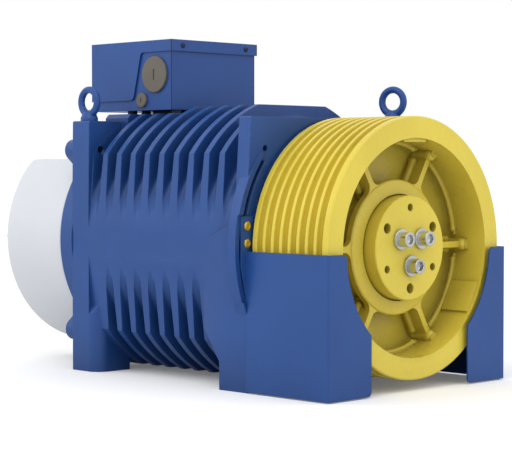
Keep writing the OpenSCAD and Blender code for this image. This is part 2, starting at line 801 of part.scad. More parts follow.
module rear_shield() {
    color("#35528c") difference() {
        union() {
            lug_plate(rear_y, shield_y, lug_r);
            turned(rear_y - rear_hub_l) polygon([[0, 0], [rear_hub_d / 2, 0],
                [rear_hub_d / 2, rear_hub_l - 8], [bore_d / 2 - fit, rear_hub_l - 8],
                [bore_d / 2 - fit, rear_hub_l + over], [0, rear_hub_l + over]]);
            bar_y(0, 0, cover_d / 2 - cover_t - fit, shield_y - over, shield_y + cover_spigot);
        }
        bar_y(0, 0, rear_bearing_d / 2 + fit, rear_bearing_y0, shield_y + cover_spigot + over);
        bar_y(0, 0, rear_seat_d / 2 + 8, rear_y - rear_hub_l - over, shield_y);
        bar_y(0, 0, brake_d / 2 + 4, shield_y, shield_y + cover_spigot + over);
        for (sx = [-1, 1], sz = [-1, 1])
            bar_y(sx * lug_x, sz * flange_hole_z, lug_screw_d / 2 + 0.5,
                  rear_y - over, shield_y + over);
        around(4, brake_stud_pcd, 45)
            bar_y(0, 0, brake_stud_d / 2 + fit, shield_y - 24, shield_y + over);
        spun(4, 0) translate([cover_d / 2 - cover_t - 12, shield_y + cover_spigot / 2, shaft_h])
            rotate([0, 90, 0]) cylinder(r = cover_screw_d / 2 + fit, h = 20);
    }
}

module lug_screws() {
    color("#9aa0a8") for (sx = [-1, 1], sz = [-1, 1])
        translate([sx * lug_x, 0, sz * flange_hole_z])
            translate([0, shield_y, 0]) mirror([0, 1, 0])
                cap_screw(lug_screw_d, rear_shield_t + lug_thread_l - 2, 0, lug_head_h);
}

// ---- shaft and bearings ------------------------------------------------------------

module main_shaft() {
    color("#a8adb3") difference() {
        turned(shaft_y0) polygon([
            [0, 0], [sheave_seat_d / 2 - 2, 0], [sheave_seat_d / 2, 2],
            [sheave_seat_d / 2, shoulder_y - shaft_y0], [front_seat_d / 2, shoulder_y - shaft_y0],
            [front_seat_d / 2, front_bearing_y0 + front_bearing_w - shaft_y0],
            [rotor_seat_d / 2 + 6, front_bearing_y0 + front_bearing_w - shaft_y0],
            [rotor_seat_d / 2 + 6, drum_y0 + drum_hub_set - shaft_y0],
            [rotor_seat_d / 2, drum_y0 + drum_hub_set - shaft_y0],
            [rotor_seat_d / 2, rear_seat_y - 30 - shaft_y0], [rear_seat_d / 2 + 6, rear_seat_y - shaft_y0],
            [rear_seat_d / 2 + 6, rear_bearing_y0 - shaft_y0], [rear_seat_d / 2, rear_bearing_y0 - shaft_y0],
            [rear_seat_d / 2, brake_seat_y - shaft_y0], [brake_seat_d / 2, brake_seat_y - shaft_y0],
            [brake_seat_d / 2, brake_end_y - shaft_y0], [encoder_stub_d / 2, brake_end_y - shaft_y0],
            [encoder_stub_d / 2, shaft_y1 - shaft_y0], [0, shaft_y1 - shaft_y0]]);
        around(3, sheave_screw_pcd, 30)
            bar_y(0, 0, sheave_screw_d / 2 + fit, shaft_y0 - over, shaft_y0 + 36);
        block([-key_w / 2 - fit, key_y - fit, sheave_seat_d / 2 - key_h / 2 - 2],
              [key_w / 2 + fit, key_y + key_l + fit, sheave_seat_d]);
    }
}

module sheave_key() {
    color("#8d9299") block([-key_w / 2, key_y, sheave_seat_d / 2 - key_h / 2 - 2 + fit],
                           [key_w / 2, key_y + key_l, key_z1]);
}

// Bearing rings: a plain ring with a shallow race turned into it.

module front_bearing_outer() {
    w = front_bearing_w;
    race = front_race_r + front_roller_r + run;
    color("#b9bec4") turned(front_bearing_y0) polygon([[race - 4, 0], [front_bearing_d / 2, 0],
        [front_bearing_d / 2, w], [race - 4, w], [race - 4, w - 5], [race, w - 5], [race, 5],
        [race - 4, 5]]);
}

module front_bearing_inner() {
    w = front_bearing_w;
    race = front_race_r - front_roller_r;
    color("#b9bec4") turned(front_bearing_y0) polygon([[front_seat_d / 2 + fit, 0],
        [race, 0], [race, w], [front_seat_d / 2 + fit, w]]);
}

module front_bearing_rollers() {
    color("#d5d8dc") around(roller_count, 2 * front_race_r, 0)
        bar_y(0, 0, front_roller_r - slip, front_bearing_y0 + 7, front_bearing_y0 + front_bearing_w - 7);
}

module rear_bearing_outer() {
    color("#b9bec4") turned(rear_bearing_y0) difference() {
        translate([rear_race_r + rear_ball_r * 0.6, 0])
            square([rear_bearing_d / 2 - rear_race_r - rear_ball_r * 0.6, rear_bearing_w]);
        translate([rear_race_r, rear_bearing_w / 2]) circle(r = rear_ball_r + run);
    }
}

module rear_bearing_inner() {
    color("#b9bec4") turned(rear_bearing_y0) difference() {
        translate([rear_seat_d / 2 + fit, 0])
            square([rear_race_r - rear_ball_r * 0.6 - rear_seat_d / 2 - fit, rear_bearing_w]);
        translate([rear_race_r, rear_bearing_w / 2]) circle(r = rear_ball_r + slip);
    }
}

module rear_bearing_balls() {
    color("#d5d8dc") around(ball_count, 2 * rear_race_r, 0)
        translate([0, rear_bearing_y0 + rear_bearing_w / 2, shaft_h]) sphere(r = rear_ball_r);
}

module shaft_seal() {
    color("#2a2a2c") turned(front_y + 1.5) polygon([
        [front_seat_d / 2 + slip, seal_w * 0.3], [front_seat_d / 2 + 5, 0], [seal_d / 2, 0],
        [seal_d / 2, seal_w], [front_seat_d / 2 + 8, seal_w], [front_seat_d / 2 + 6, seal_w * 0.6],
        [front_seat_d / 2 + slip, seal_w * 0.45]]);
}

module bearing_cap() {
    y0 = front_bearing_y0 + front_bearing_w;
    color("#7d838b") difference() {
        bar_y(0, 0, front_hub_d / 2, y0, y0 + cap_t);
        bar_y(0, 0, front_bearing_d / 2 - 14, y0 - over, y0 + cap_t + over);
    }
}

// ---- motor -------------------------------------------------------------------------

module slot_cuts(r, depth, w, y0, y1) {
    for (i = [0:slot_count - 1])
        translate([0, 0, shaft_h]) rotate([0, i * 360 / slot_count, 0])
            translate([r - over, y0, -w / 2]) cube([depth + over, y1 - y0, w]);
}

module stator_core() {
    y0 = drum_y0;
    color("#6b6f75") difference() {
        bar_y(0, 0, bore_d / 2 - fit, y0, y0 + core_l);
        bar_y(0, 0, core_bore_d / 2, y0 - over, y0 + core_l + over);
        slot_cuts(core_bore_d / 2, slot_depth, slot_w, y0 - over, y0 + core_l + over);
    }
}

// Coil sides in the slots, joined by a winding head at each end of the core.
module stator_winding() {
    head_r0 = core_bore_d / 2 + 4;
    head_r1 = core_bore_d / 2 + slot_depth - 1;
    wall = 0.5;
    color("#a8622d") union() {
        for (y0 = [drum_y0 - winding_head_l - 3, drum_y0 + core_l + 3])
            turned(y0) polygon([[head_r0 + 3, 0], [head_r1 - 3, 0], [head_r1, 3],
                [head_r1, winding_head_l - 3], [head_r1 - 3, winding_head_l],
                [head_r0 + 3, winding_head_l], [head_r0, winding_head_l - 3], [head_r0, 3]]);
        for (i = [0:slot_count - 1])
            translate([0, 0, shaft_h]) rotate([0, i * 360 / slot_count, 0])
                translate([head_r0 + 4, drum_y0 - winding_head_l / 2, -slot_w / 2 + wall])
                    cube([head_r1 - head_r0 - 8, core_l + winding_head_l, slot_w - 2 * wall]);
    }
}

module rotor_drum() {
    r1 = magnet_r - magnet_t;
    color("#5d6168") turned(drum_y0) polygon([
        [rotor_seat_d / 2 + fit, drum_hub_set], [rotor_seat_d / 2 + 24, drum_hub_set],
        [rotor_seat_d / 2 + 24, core_l / 2 - drum_web_t / 2], [r1 - drum_wall, core_l / 2 - drum_web_t / 2],
        [r1 - drum_wall, 0], [r1, 0], [r1, core_l], [r1 - drum_wall, core_l],
        [r1 - drum_wall, core_l / 2 + drum_web_t / 2], [rotor_seat_d / 2 + 24, core_l / 2 + drum_web_t / 2],
        [rotor_seat_d / 2 + 24, core_l - drum_hub_set], [rotor_seat_d / 2 + fit, core_l - drum_hub_set]]);
}

module rotor_magnets() {
    color("#3a3d42") difference() {
        bar_y(0, 0, magnet_r, drum_y0 + 5, drum_y0 + core_l - 5);
        bar_y(0, 0, magnet_r - magnet_t, drum_y0, drum_y0 + core_l);
        for (i = [0:pole_count - 1])
            translate([0, 0, shaft_h]) rotate([0, i * 360 / pole_count, 0])
                translate([magnet_r - magnet_t - over, drum_y0, -pole_gap / 2])
                    cube([magnet_t + 2 * over, core_l, pole_gap]);
    }
}

// ---- sheave ------------------------------------------------------------------------

// One rope groove, as points from its front edge to its rear edge.
function groove(y) =
    let (seat_z = rope_pcd / 2,
         side = rope_r * sin(flank_a),
         drop = rope_r * cos(flank_a),
         mouth = side + (sheave_r - seat_z + drop) / tan(flank_a + 18),
         cut_a = asin(undercut_w / 2 / rope_r),
         cut_floor = seat_z - rope_r - undercut_depth)
    concat([[sheave_r, y - mouth]],
           [for (i = [0:3]) let (a = flank_a + (cut_a - flank_a) * i / 3)
               [seat_z - rope_r * cos(a), y - rope_r * sin(a)]],
           [[cut_floor, y - undercut_w / 2 + 0.6], [cut_floor, y + undercut_w / 2 - 0.6]],
           [for (i = [0:3]) let (a = cut_a + (flank_a - cut_a) * i / 3)
               [seat_z - rope_r * cos(a), y + rope_r * sin(a)]],
           [[sheave_r, y + mouth]]);

module sheave_rim() {
    wall_r = rim_face_bore_d / 2;
    rear_r = wall_r - 2;
    turned(sheave_y0) polygon(concat(
        [[wall_r, 0], [sheave_r - 2, 0], [sheave_r, 2]],
        [for (i = [0:groove_count - 1]) each groove(groove_edge + (i + 0.5) * groove_pitch)],
        [[sheave_r, sheave_w - 2], [sheave_r - 2, sheave_w], [rear_r, sheave_w],
         [rear_r - 6, web_floor + web_t + 6], [rear_r - 14, web_floor + web_t],
         [hub_d / 2 + 8, web_floor + web_t], [hub_d / 2, web_floor + web_t + 8],
         [hub_d / 2, hub_set + hub_l], [0, hub_set + hub_l], [0, hub_set],
         [hub_d / 2 - 1.5, hub_set], [hub_d / 2, hub_set + 1.5], [hub_d / 2, spoke_set + 1],
         [hub_d / 2 + 2.5, spoke_set + 1], [hub_d / 2 + 2.5, spoke_set - 2],
         [spoke_disc_d / 2 - 2, spoke_set - 2], [spoke_disc_d / 2, spoke_set],
         [spoke_disc_d / 2, spoke_set + spoke_disc_t - 2], [spoke_disc_d / 2 - 8, spoke_set + spoke_disc_t],
         [hub_d / 2 + 4, spoke_set + spoke_disc_t], [hub_d / 2 + 4, web_floor - 8],
         [hub_d / 2 + 12, web_floor], [wall_r - 8, web_floor], [wall_r - 3, web_floor - 2],
         [wall_r, web_floor - 7]]));
}

// The beads round the rim wall, one between each two spokes, with ball ends.
module rim_beads() {
    gap_a = 6;
    r = bead_t / 2;
    bead_r = rim_face_bore_d / 2 - r / 2;
    spun(spoke_count, gap_a) translate([0, sheave_y0 + rim_bore_depth + 2, shaft_h]) {
        rotate([90, 0, 0]) rotate_extrude(angle = 360 / spoke_count - 2 * gap_a)
            translate([bead_r, 0]) circle(r = r, $fn = 24);
        for (a = [0, 360 / spoke_count - 2 * gap_a]) rotate([0, -a, 0]) translate([bead_r, 0, 0])
            sphere(r = r, $fn = 24);
    }
}

// One spoke on the +X side: a tall plate with a round column at the rim wall, and along
// each side of its foot a round bead with a ball end.
module spoke() {
    r0 = spoke_disc_d / 2 - 12;
    r1 = rim_face_bore_d / 2;
    translate([r0, sheave_y0 + spoke_set, shaft_h - spoke_t / 2])
        cube([r1 + over - r0, web_floor - spoke_set + over, spoke_t]);
    translate([r1, sheave_y0 + spoke_set - column_lift, shaft_h]) rotate([-90, 0, 0])
        cylinder(r = column_r, h = web_floor - spoke_set + column_lift + over);
    for (s = [-1, 1]) translate([r0, sheave_y0 + web_floor - 4.5, shaft_h + s * spoke_t / 2]) {
        rotate([0, 90, 0]) cylinder(r = foot_bead_r, h = r1 - 5 - r0);
        translate([r1 - 5 - r0, 0, 0]) sphere(r = foot_bead_r);
    }
}

// Fillets where a spoke springs from its disc.
module spoke_root() {
    r = 14;
    x0 = sqrt(pow(spoke_disc_d / 2 + r, 2) - pow(spoke_t / 2 + r, 2));
    for (s = [-1, 1]) difference() {
        translate([spoke_disc_d / 2 - 12, sheave_y0 + spoke_set, shaft_h + min(0, s * (spoke_t / 2 + r))])
            cube([x0 - spoke_disc_d / 2 + 12, spoke_disc_t - 2, spoke_t / 2 + r]);
        translate([x0, sheave_y0 + spoke_set - over, shaft_h + s * (spoke_t / 2 + r)])
            rotate([-90, 0, 0]) cylinder(r = r, h = spoke_disc_t + 2 * over);
    }
}

module balance_pad() {
    wall_r = rim_face_bore_d / 2;
    flat = sqrt(pow(wall_r, 2) - pow(pad_w / 2, 2)) - pad_lift;
    intersection() {
        translate([flat, sheave_y0 + 5, shaft_h - pad_w / 2])
            cube([wall_r - flat + 4, rim_bore_depth - bead_t, pad_w]);
        bar_y(0, 0, wall_r + 4, sheave_y0, sheave_y0 + rim_bore_depth);
    }
}

module traction_sheave() {
    color("#dcc850") difference() {
        union() {
            sheave_rim();
            rim_beads();
            spun(spoke_count, 0) {
                spoke();
                spoke_root();
            }
            spun(3, 90) balance_pad();
        }
        bar_y(0, 0, sheave_seat_d / 2 + fit, shaft_y0, sheave_y1 + over);
        around(3, hub_hole_pcd, 30)
            bar_y(0, 0, hub_large_hole_d / 2, sheave_y0, sheave_y0 + hub_set + hub_hole_depth);
        around(3, hub_hole_pcd, 90)
            bar_y(0, 0, hub_small_hole_d / 2, sheave_y0, sheave_y0 + hub_set + hub_hole_depth);
        around(3, sheave_screw_pcd, 30)
            bar_y(0, 0, sheave_screw_d / 2 + 0.5, sheave_y0, shaft_y0 + over);
        block([-key_w / 2 - fit, key_y - 2, 0],
              [key_w / 2 + fit, sheave_y1 + over, key_z1 + fit]);
    }
}

module sheave_washers() {
    y0 = sheave_y0 + hub_set - washer_t;
    color("#c9cdd2") around(3, sheave_screw_pcd, 30) difference() {
        bar_y(0, 0, washer_d / 2, y0, y0 + washer_t);
        bar_y(0, 0, sheave_screw_d / 2 + 0.5, y0 - over, y0 + washer_t + over);
    }
}

module sheave_screws() {
    color("#c9cdd2") around(3, sheave_screw_pcd, 30)
        cap_screw(sheave_screw_d, washer_t + hub_wall + 32, sheave_y0 + hub_set - washer_t, 16);
}

// ---- rope guards -------------------------------------------------------------------

// Seen from above: the side panel, the bend and the front panel, as one folded sheet.
module guard_plan() {
    r = guard_bend_r;
    polygon(concat(
        [[guard_x, front_y]], arc(guard_x - r, guard_y0 + r, r, 0, -90, 8),
        [[guard_inner, guard_y0], [guard_inner, guard_y0 + guard_t]],
        arc(guard_x - r, guard_y0 + r, r - guard_t, -90, 0, 8), [[guard_x - guard_t, front_y]]));
}

module right_guard_sheet() {
    difference() {
        translate([0, 0, shaft_h + guard_foot]) linear_extrude(guard_top - guard_foot) guard_plan();
        bar_y(0, 0, guard_cut_r, guard_y0 - over, guard_y0 + guard_t + over);
        difference() {
            block([guard_cut_r - over, guard_y0 - over, guard_top - guard_corner_r],
                  [guard_cut_r + guard_corner_r, guard_y0 + guard_t + over, guard_top + over]);
            bar_y(guard_cut_r + guard_corner_r, guard_top - guard_corner_r, guard_corner_r,
                  guard_y0 - 2 * over, guard_y0 + guard_t + 2 * over);
        }
        difference() {
            block([guard_inner - over, guard_y0 - over, guard_foot - over],
                  [guard_inner + guard_corner_r, guard_y0 + guard_t + over, guard_foot + guard_corner_r]);
            bar_y(guard_inner + guard_corner_r, guard_foot + guard_corner_r, guard_corner_r,
                  guard_y0 - 2 * over, guard_y0 + guard_t + 2 * over);
        }
    }
    difference() {
        slab(front_y - guard_t, front_y)
            polygon([[tab_x0, guard_tab_top], [tab_x1, guard_tab_top],
                     [tab_x1, -guard_tab_foot + 30], [guard_x, -guard_tab_foot - 20],
                     [guard_x, guard_foot], [tab_x0, guard_foot]]);
        for (z = guard_screw_z)
            bar_y(guard_screw_x, z, guard_screw_d / 2 + 0.3, front_y - guard_t - over, front_y + over);
    }
}

module right_rope_guard() {
    color("#41609c") right_guard_sheet();
}

module left_rope_guard() {
    color("#41609c") mirror([1, 0, 0]) right_guard_sheet();
}

module guard_screws() {
    head_r = guard_screw_head_d / 2;
    color("#cbb24a") both_sides() for (z = guard_screw_z)
        translate([guard_screw_x, front_y - guard_t, shaft_h + z]) rotate([-90, 0, 0]) union() {
            translate([0, 0, -2.6]) cylinder(r1 = head_r - 1, r2 = head_r, h = 1);
            translate([0, 0, -1.6]) cylinder(r = head_r, h = 1.6);
            cylinder(r = guard_screw_d / 2, h = guard_t + 12);
        }
}

// ---- terminal box ------------------------------------------------------------------

module box_feet() {
    for (at = box_foot_at) translate([at[0], at[1], 0]) children();
}

module terminal_box() {
    x1 = box_w / 2 - lid_in;
    ya = box_y0 + lid_in;
    yb = box_y1 - lid_in;
    z1 = box_z0 + box_h - box_t - 0.5;
    color("#3e5c99") difference() {
        block([-x1, ya, box_z0], [x1, yb, z1]);
        block([-x1 + box_t, ya + box_t, box_z0 + box_t], [x1 - box_t, yb - box_t, z1 + over]);
        bar_z(0, duct_y, cable_hole_d / 2 + 3, box_z0 - over, box_z0 + box_t + over);
        box_feet() bar_z(0, 0, box_screw_d / 2 + 0.3, box_z0 - over, box_z0 + box_t + over);
        plug_hole(large_plug_y, large_plug_z, large_plug_d / 2 - 5);
        plug_hole(small_plug_y, small_plug_z, small_plug_d / 2 - 3);
        for (x = lid_screw_x) bar_y(x, lid_screw_z, lid_screw_d / 2 + fit, ya - over, ya + box_t + over);
    }
}

module plug_hole(y, z, r) {
    translate([-box_w / 2 - over, y, shaft_h + box_z0 + z]) rotate([0, 90, 0])
        cylinder(r = r, h = lid_in + box_t + 2 * over);
}

// Side view of the lid: shallow at the front, deep behind the slanted seam.
module lid_side() {
    top = box_z0 + box_h;
    polygon([[box_y0, top], [box_y1, top], [box_y1, top - lid_drop],
             [box_y0 + seam_foot + 11, top - lid_drop], [box_y0 + seam_foot + 3, top - lid_drop + 1],
             [box_y0 + seam_foot - 1, top - lid_drop + 5], [box_y0 + seam_top + 2, top - lid_edge - 3],
             [box_y0 + seam_top - 3, top - lid_edge], [box_y0, top - lid_edge]]);
}

module terminal_box_lid() {
    x1 = box_w / 2;
    top = box_z0 + box_h;
    color("#41609d") difference() {
        translate([-x1, 0, shaft_h]) rotate([90, 0, 90]) linear_extrude(2 * x1) lid_side();
        block([-x1 + box_t, box_y0 + box_t, box_z0 - over], [x1 - box_t, box_y1 - box_t, top - box_t]);
        for (x = lid_screw_x)
            bar_y(x, lid_screw_z, lid_screw_d / 2 + 0.2, box_y0 - over, box_y0 + box_t + over);
    }
}

module lid_screws() {
    color("#2f4a80") for (x = lid_screw_x) translate([x, box_y0, shaft_h + lid_screw_z]) rotate([-90, 0, 0])
        difference() {
            union() {
                translate([0, 0, -2.4]) cylinder(r1 = lid_screw_head_r - 1.2, r2 = lid_screw_head_r, h = 1.2);
                translate([0, 0, -1.2]) cylinder(r = lid_screw_head_r, h = 1.2);
                cylinder(r = lid_screw_d / 2, h = 12);
            }
            translate([0, 0, -2.4 - over]) cylinder(r = 2, h = 1.4 + over, $fn = 6);
        }
}

// Rubber feet under the box, and a round gasket about the cable duct.
module box_spacers() {
    color("#26334d") {
        box_feet() difference() {
            bar_z(0, 0, spacer_r, deck_z, box_z0);
            bar_z(0, 0, box_screw_d / 2 + 0.3, deck_z - over, box_z0 + over);
        }
        difference() {
            bar_z(0, duct_y, gasket_r, deck_z, box_z0);
            bar_z(0, duct_y, cable_hole_d / 2 + 3, deck_z - over, box_z0 + over);
        }
    }
}

module box_screws() {
    color("#9aa0a8") box_feet() union() {
        bar_z(0, 0, box_screw_d / 2, deck_z - box_screw_grip + 2, box_z0 + box_t + over);
        bar_z(0, 0, box_screw_d * 0.8, box_z0 + box_t, box_z0 + box_t + 5);
    }
}

module cable_duct() {
    color("#2a2a2c") difference() {
        bar_z(0, duct_y, cable_hole_d / 2 - fit, deck_z - 18, box_z0 + box_t + 4);
        bar_z(0, duct_y, cable_hole_d / 2 - 3, deck_z - 18 - over, box_z0 + box_t + 4 + over);
    }
}

module terminal_block() {
    ways = 6;
    pitch = 19.8;
    l = ways * pitch + 1.6;
    w = 36;
    y0 = box_y0 + block_set;
    z0 = box_z0 + box_t;
    color("#d8d4c4") difference() {
        union() {
            block([-l / 2, y0, z0], [l / 2, y0 + w, z0 + 24]);
            for (i = [0:ways])
                block([-l / 2 + i * pitch, y0, z0 + 20], [-l / 2 + i * pitch + 1.6, y0 + w, z0 + 32]);
        }
        for (i = [0:ways - 1]) bar_z(-l / 2 + 0.8 + (i + 0.5) * pitch, y0 + w / 2, 3.5, z0 + 12, z0 + 40);
    }
}

module plug(y, z, d, neck_d) {
    x0 = -box_w / 2 + lid_in;
    translate([x0, y, shaft_h + box_z0 + z]) rotate([0, -90, 0]) difference() {
        union() {
            cylinder(r = d / 2, h = 3.4);
            translate([0, 0, 3.4]) cylinder(r1 = d / 2, r2 = d / 2 - 1.2, h = 1.2);
            translate([0, 0, -10]) cylinder(r = neck_d / 2, h = 10);
        }
        translate([-d * 0.15, -1.2, 4.6 - 2]) cube([d * 0.3, 2.4, 4]);
        translate([0, 0, -10 - over]) cylinder(r = neck_d / 2 - 3, h = 8);
    }
}

module large_plug() {
    color("#6f6a60") plug(large_plug_y, large_plug_z, large_plug_d, large_plug_d - 10 - 2 * fit);
}

module small_plug() {
    color("#7a7468") plug(small_plug_y, small_plug_z, small_plug_d, small_plug_d - 6 - 2 * fit);
}

// ---- lifting eyes ------------------------------------------------------------------

module eyebolt() {
    ring_r = (eye_d - eye_t) / 2;
    ring_z = eye_collar_h + eye_d / 2 - 3;
    union() {
        translate([0, 0, ring_z]) rotate([0, 90, 0]) rotate_extrude()
            translate([ring_r, 0]) circle(r = eye_t / 2);
        cylinder(r = eye_collar_d / 2, h = eye_collar_h * 0.55);
        translate([0, 0, eye_collar_h * 0.55])
            cylinder(r1 = eye_collar_d / 2, r2 = eye_t * 0.75, h = eye_collar_h * 0.75);
        translate([0, 0, -eye_shank_l]) cylinder(r = eye_thread_d / 2, h = eye_shank_l + over);
    }
}

module eyebolts() {
    color("#2f4c88") {
        translate([eye_x, front_eye_y, shaft_h + flange_top]) rotate([0, 0, front_eye_turn]) eyebolt();
        translate([-eye_x, rear_eye_y, shaft_h + flange_top]) eyebolt();
    }
}

// ---- brake -------------------------------------------------------------------------

module brake_hub() {
    color("#9aa0a8") difference() {
        translate([0, shield_y + 2, shaft_h]) rotate([-90, 0, 0])
            cylinder(d = hub_flat_d, h = disc_2_y + friction_t - shield_y, $fn = 6);
        bar_y(0, 0, brake_seat_d / 2 + fit, shield_y, brake_end_y);
    }
}

module friction_disc(y0) {
    face_r = friction_d / 2 - friction_face_w;
    difference() {
        turned(y0) polygon([[0, 2.5], [face_r, 2.5], [face_r, 0], [friction_d / 2, 0],
            [friction_d / 2, friction_t], [face_r, friction_t], [face_r, friction_t - 2.5],
            [0, friction_t - 2.5]]);
        translate([0, y0 - over, shaft_h]) rotate([-90, 0, 0])
            cylinder(d = hub_flat_d + 2 * fit, h = friction_t + 2 * over, $fn = 6);
    }
}

module friction_disc_1() {
    color("#4a4038") friction_disc(disc_1_y);
}

module friction_disc_2() {
    color("#4a4038") friction_disc(disc_2_y);
}

module armature_plate(y0) {
    difference() {
        bar_y(0, 0, brake_d / 2, y0, y0 + armature_t);
        bar_y(0, 0, brake_bore_d / 2, y0 - over, y0 + armature_t + over);
        around(4, brake_stud_pcd, 45) bar_y(0, 0, sleeve_r + slip, y0 - over, y0 + armature_t + over);
    }
}

module armature_plate_1() {
    color("#7f858d") armature_plate(armature_1_y);
}

module armature_plate_2() {
    color("#7f858d") armature_plate(armature_2_y);
}

module brake_magnet(y0) {
    difference() {
        bar_y(0, 0, brake_d / 2, y0, y0 + magnet_l);
        bar_y(0, 0, brake_bore_d / 2, y0 - over, y0 + magnet_l + over);
        turned(y0) polygon([[coil_r0, -over], [coil_r1, -over], [coil_r1, coil_l + 1],
                            [coil_r0, coil_l + 1]]);
        around(spring_count, spring_pcd, 0)
            bar_y(0, 0, spring_d / 2 + 0.5, y0 - over, y0 + spring_hole_l);
        around(4, brake_stud_pcd, 45)
            bar_y(0, 0, brake_stud_d / 2 + 0.5, y0 - over, y0 + magnet_l + over);
    }
}

module brake_magnet_1() {
    color("#5f656d") brake_magnet(magnet_1_y);
}

module brake_magnet_2() {
    color("#5f656d") brake_magnet(magnet_2_y);
}

module brake_coils() {
    color("#a8622d") for (y0 = [magnet_1_y, magnet_2_y]) turned(y0)
        polygon([[coil_r0 + fit, 1], [coil_r1 - fit, 1], [coil_r1 - fit, coil_l + 1],
                 [coil_r0 + fit, coil_l + 1]]);
}

module springs(armature_y, magnet_y) {
    y0 = armature_y + armature_t;
    y1 = magnet_y + spring_hole_l - stroke - travel_margin;
    around(spring_count, spring_pcd, 0) difference() {
        bar_y(0, 0, spring_d / 2, y0, y1);
        bar_y(0, 0, spring_d / 2 - 2, y0 - over, y1 + over);
    }
}

module springs_1() {
    color("#b0b4ba") springs(armature_1_y, magnet_1_y);
}

module springs_2() {
    color("#b0b4ba") springs(armature_2_y, magnet_2_y);
}

module brake_mid_plate() {
    color("#7f858d") difference() {
        bar_y(0, 0, brake_d / 2, mid_y, mid_y + mid_plate_t);
        bar_y(0, 0, brake_bore_d / 2, mid_y - over, mid_y + mid_plate_t + over);
        around(4, brake_stud_pcd, 45)
            bar_y(0, 0, brake_stud_d / 2 + 0.5, mid_y - over, mid_y + mid_plate_t + over);
    }
}

module brake_sleeves() {
    color("#b0b4ba") for (y = [[shield_y, magnet_1_y], [mid_y + mid_plate_t, magnet_2_y]])
        around(4, brake_stud_pcd, 45) difference() {
            bar_y(0, 0, sleeve_r, y[0], y[1]);
            bar_y(0, 0, brake_stud_d / 2 + 0.5, y[0] - over, y[1] + over);
        }
}

module brake_studs() {
    color("#9aa0a8") around(4, brake_stud_pcd, 45) union() {
        bar_y(0, 0, brake_stud_d / 2, shield_y - 22, brake_end_y + 4);
        bar_y(0, 0, brake_stud_d * 0.8, brake_end_y, brake_end_y + 8);
    }
}

module encoder_body() {
    color("#3a3d42") difference() {
        bar_y(0, 0, encoder_d / 2, encoder_y, encoder_y + encoder_l);
        bar_y(0, 0, encoder_stub_d / 2 + run, encoder_y - over, encoder_y + encoder_l - 3);
    }
}

module encoder_bracket() {
    color("#9aa0a8") difference() {
        bar_y(0, 0, encoder_flange_d / 2, brake_end_y, encoder_y);
        bar_y(0, 0, brake_seat_d / 2 + 2, brake_end_y - over, brake_end_y + 3);
        bar_y(0, 0, encoder_stub_d / 2 + run, brake_end_y - over, encoder_y + over);
    }
}

module brake_cover() {
    color("#dfe3ea") difference() {
        turned(shield_y) polygon([[0, cover_l - 3], [cover_d / 2 - cover_t - 3, cover_l - 3],
            [cover_d / 2 - cover_t, cover_l - 6], [cover_d / 2 - cover_t, 0], [cover_d / 2, 0],
            [cover_d / 2, cover_l - 3], [cover_d / 2 - 3, cover_l], [0, cover_l]]);
        spun(4, 0) translate([cover_d / 2 - cover_t - over, shield_y + cover_spigot / 2, shaft_h])
            rotate([0, 90, 0]) cylinder(r = cover_screw_d / 2 + 0.2, h = 10);
        bar_y(cover_plug_at[0], cover_plug_at[1], cover_plug_r - 1.5 + fit, shield_y + cover_l - 6,
              shield_y + cover_l + over);
    }
}

module cover_screws() {
    color("#9aa0a8") spun(4, 0) translate([cover_d / 2, shield_y + cover_spigot / 2, shaft_h])
            rotate([0, 90, 0]) union() {
        cylinder(r1 = 4.4, r2 = 3, h = 2.4);
        translate([0, 0, -12]) cylinder(r = cover_screw_d / 2, h = 12 + 0.5);
    }
}

module cover_plug() {
    color("#8b8f96") union() {
        bar_y(cover_plug_at[0], cover_plug_at[1], cover_plug_r, shield_y + cover_l,
              shield_y + cover_l + cover_plug_l);
        bar_y(cover_plug_at[0], cover_plug_at[1], cover_plug_r - 1.5, shield_y + cover_l - 4,
              shield_y + cover_l + over);
    }
}

stator_housing();
front_shield();
rear_shield();
front_shield_screws();
lug_screws();
stator_core();
stator_winding();
rotor_drum();
rotor_magnets();
main_shaft();
front_bearing_outer();
front_bearing_inner();
front_bearing_rollers();
rear_bearing_outer();
rear_bearing_inner();
rear_bearing_balls();
shaft_seal();
bearing_cap();
traction_sheave();
sheave_key();
sheave_screws();
sheave_washers();
left_rope_guard();
right_rope_guard();
guard_screws();
terminal_box();
terminal_box_lid();
lid_screws();
box_spacers();
box_screws();
cable_duct();
terminal_block();
large_plug();
small_plug();
eyebolts();
brake_hub();
friction_disc_1();
friction_disc_2();
armature_plate_1();
armature_plate_2();
brake_magnet_1();
brake_magnet_2();
brake_coils();
springs_1();
springs_2();
brake_mid_plate();
brake_sleeves();
brake_studs();
encoder_body();
encoder_bracket();
brake_cover();
cover_screws();
cover_plug();
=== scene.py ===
# %% [markdown]
# # Gearless elevator traction machine
# The machine hangs an elevator car on steel ropes. A yellow rope sheave stands in front of a
# ribbed blue motor housing, two sheet guards stop the ropes from jumping out, a terminal box
# sits on top and a spun cover at the rear hides a twin disc brake. The exact solids come from
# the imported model. This notebook gives them their finishes and rebuilds the small turned and
# forged pieces as smooth surfaces worked out with numpy.

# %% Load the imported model
import json
import math

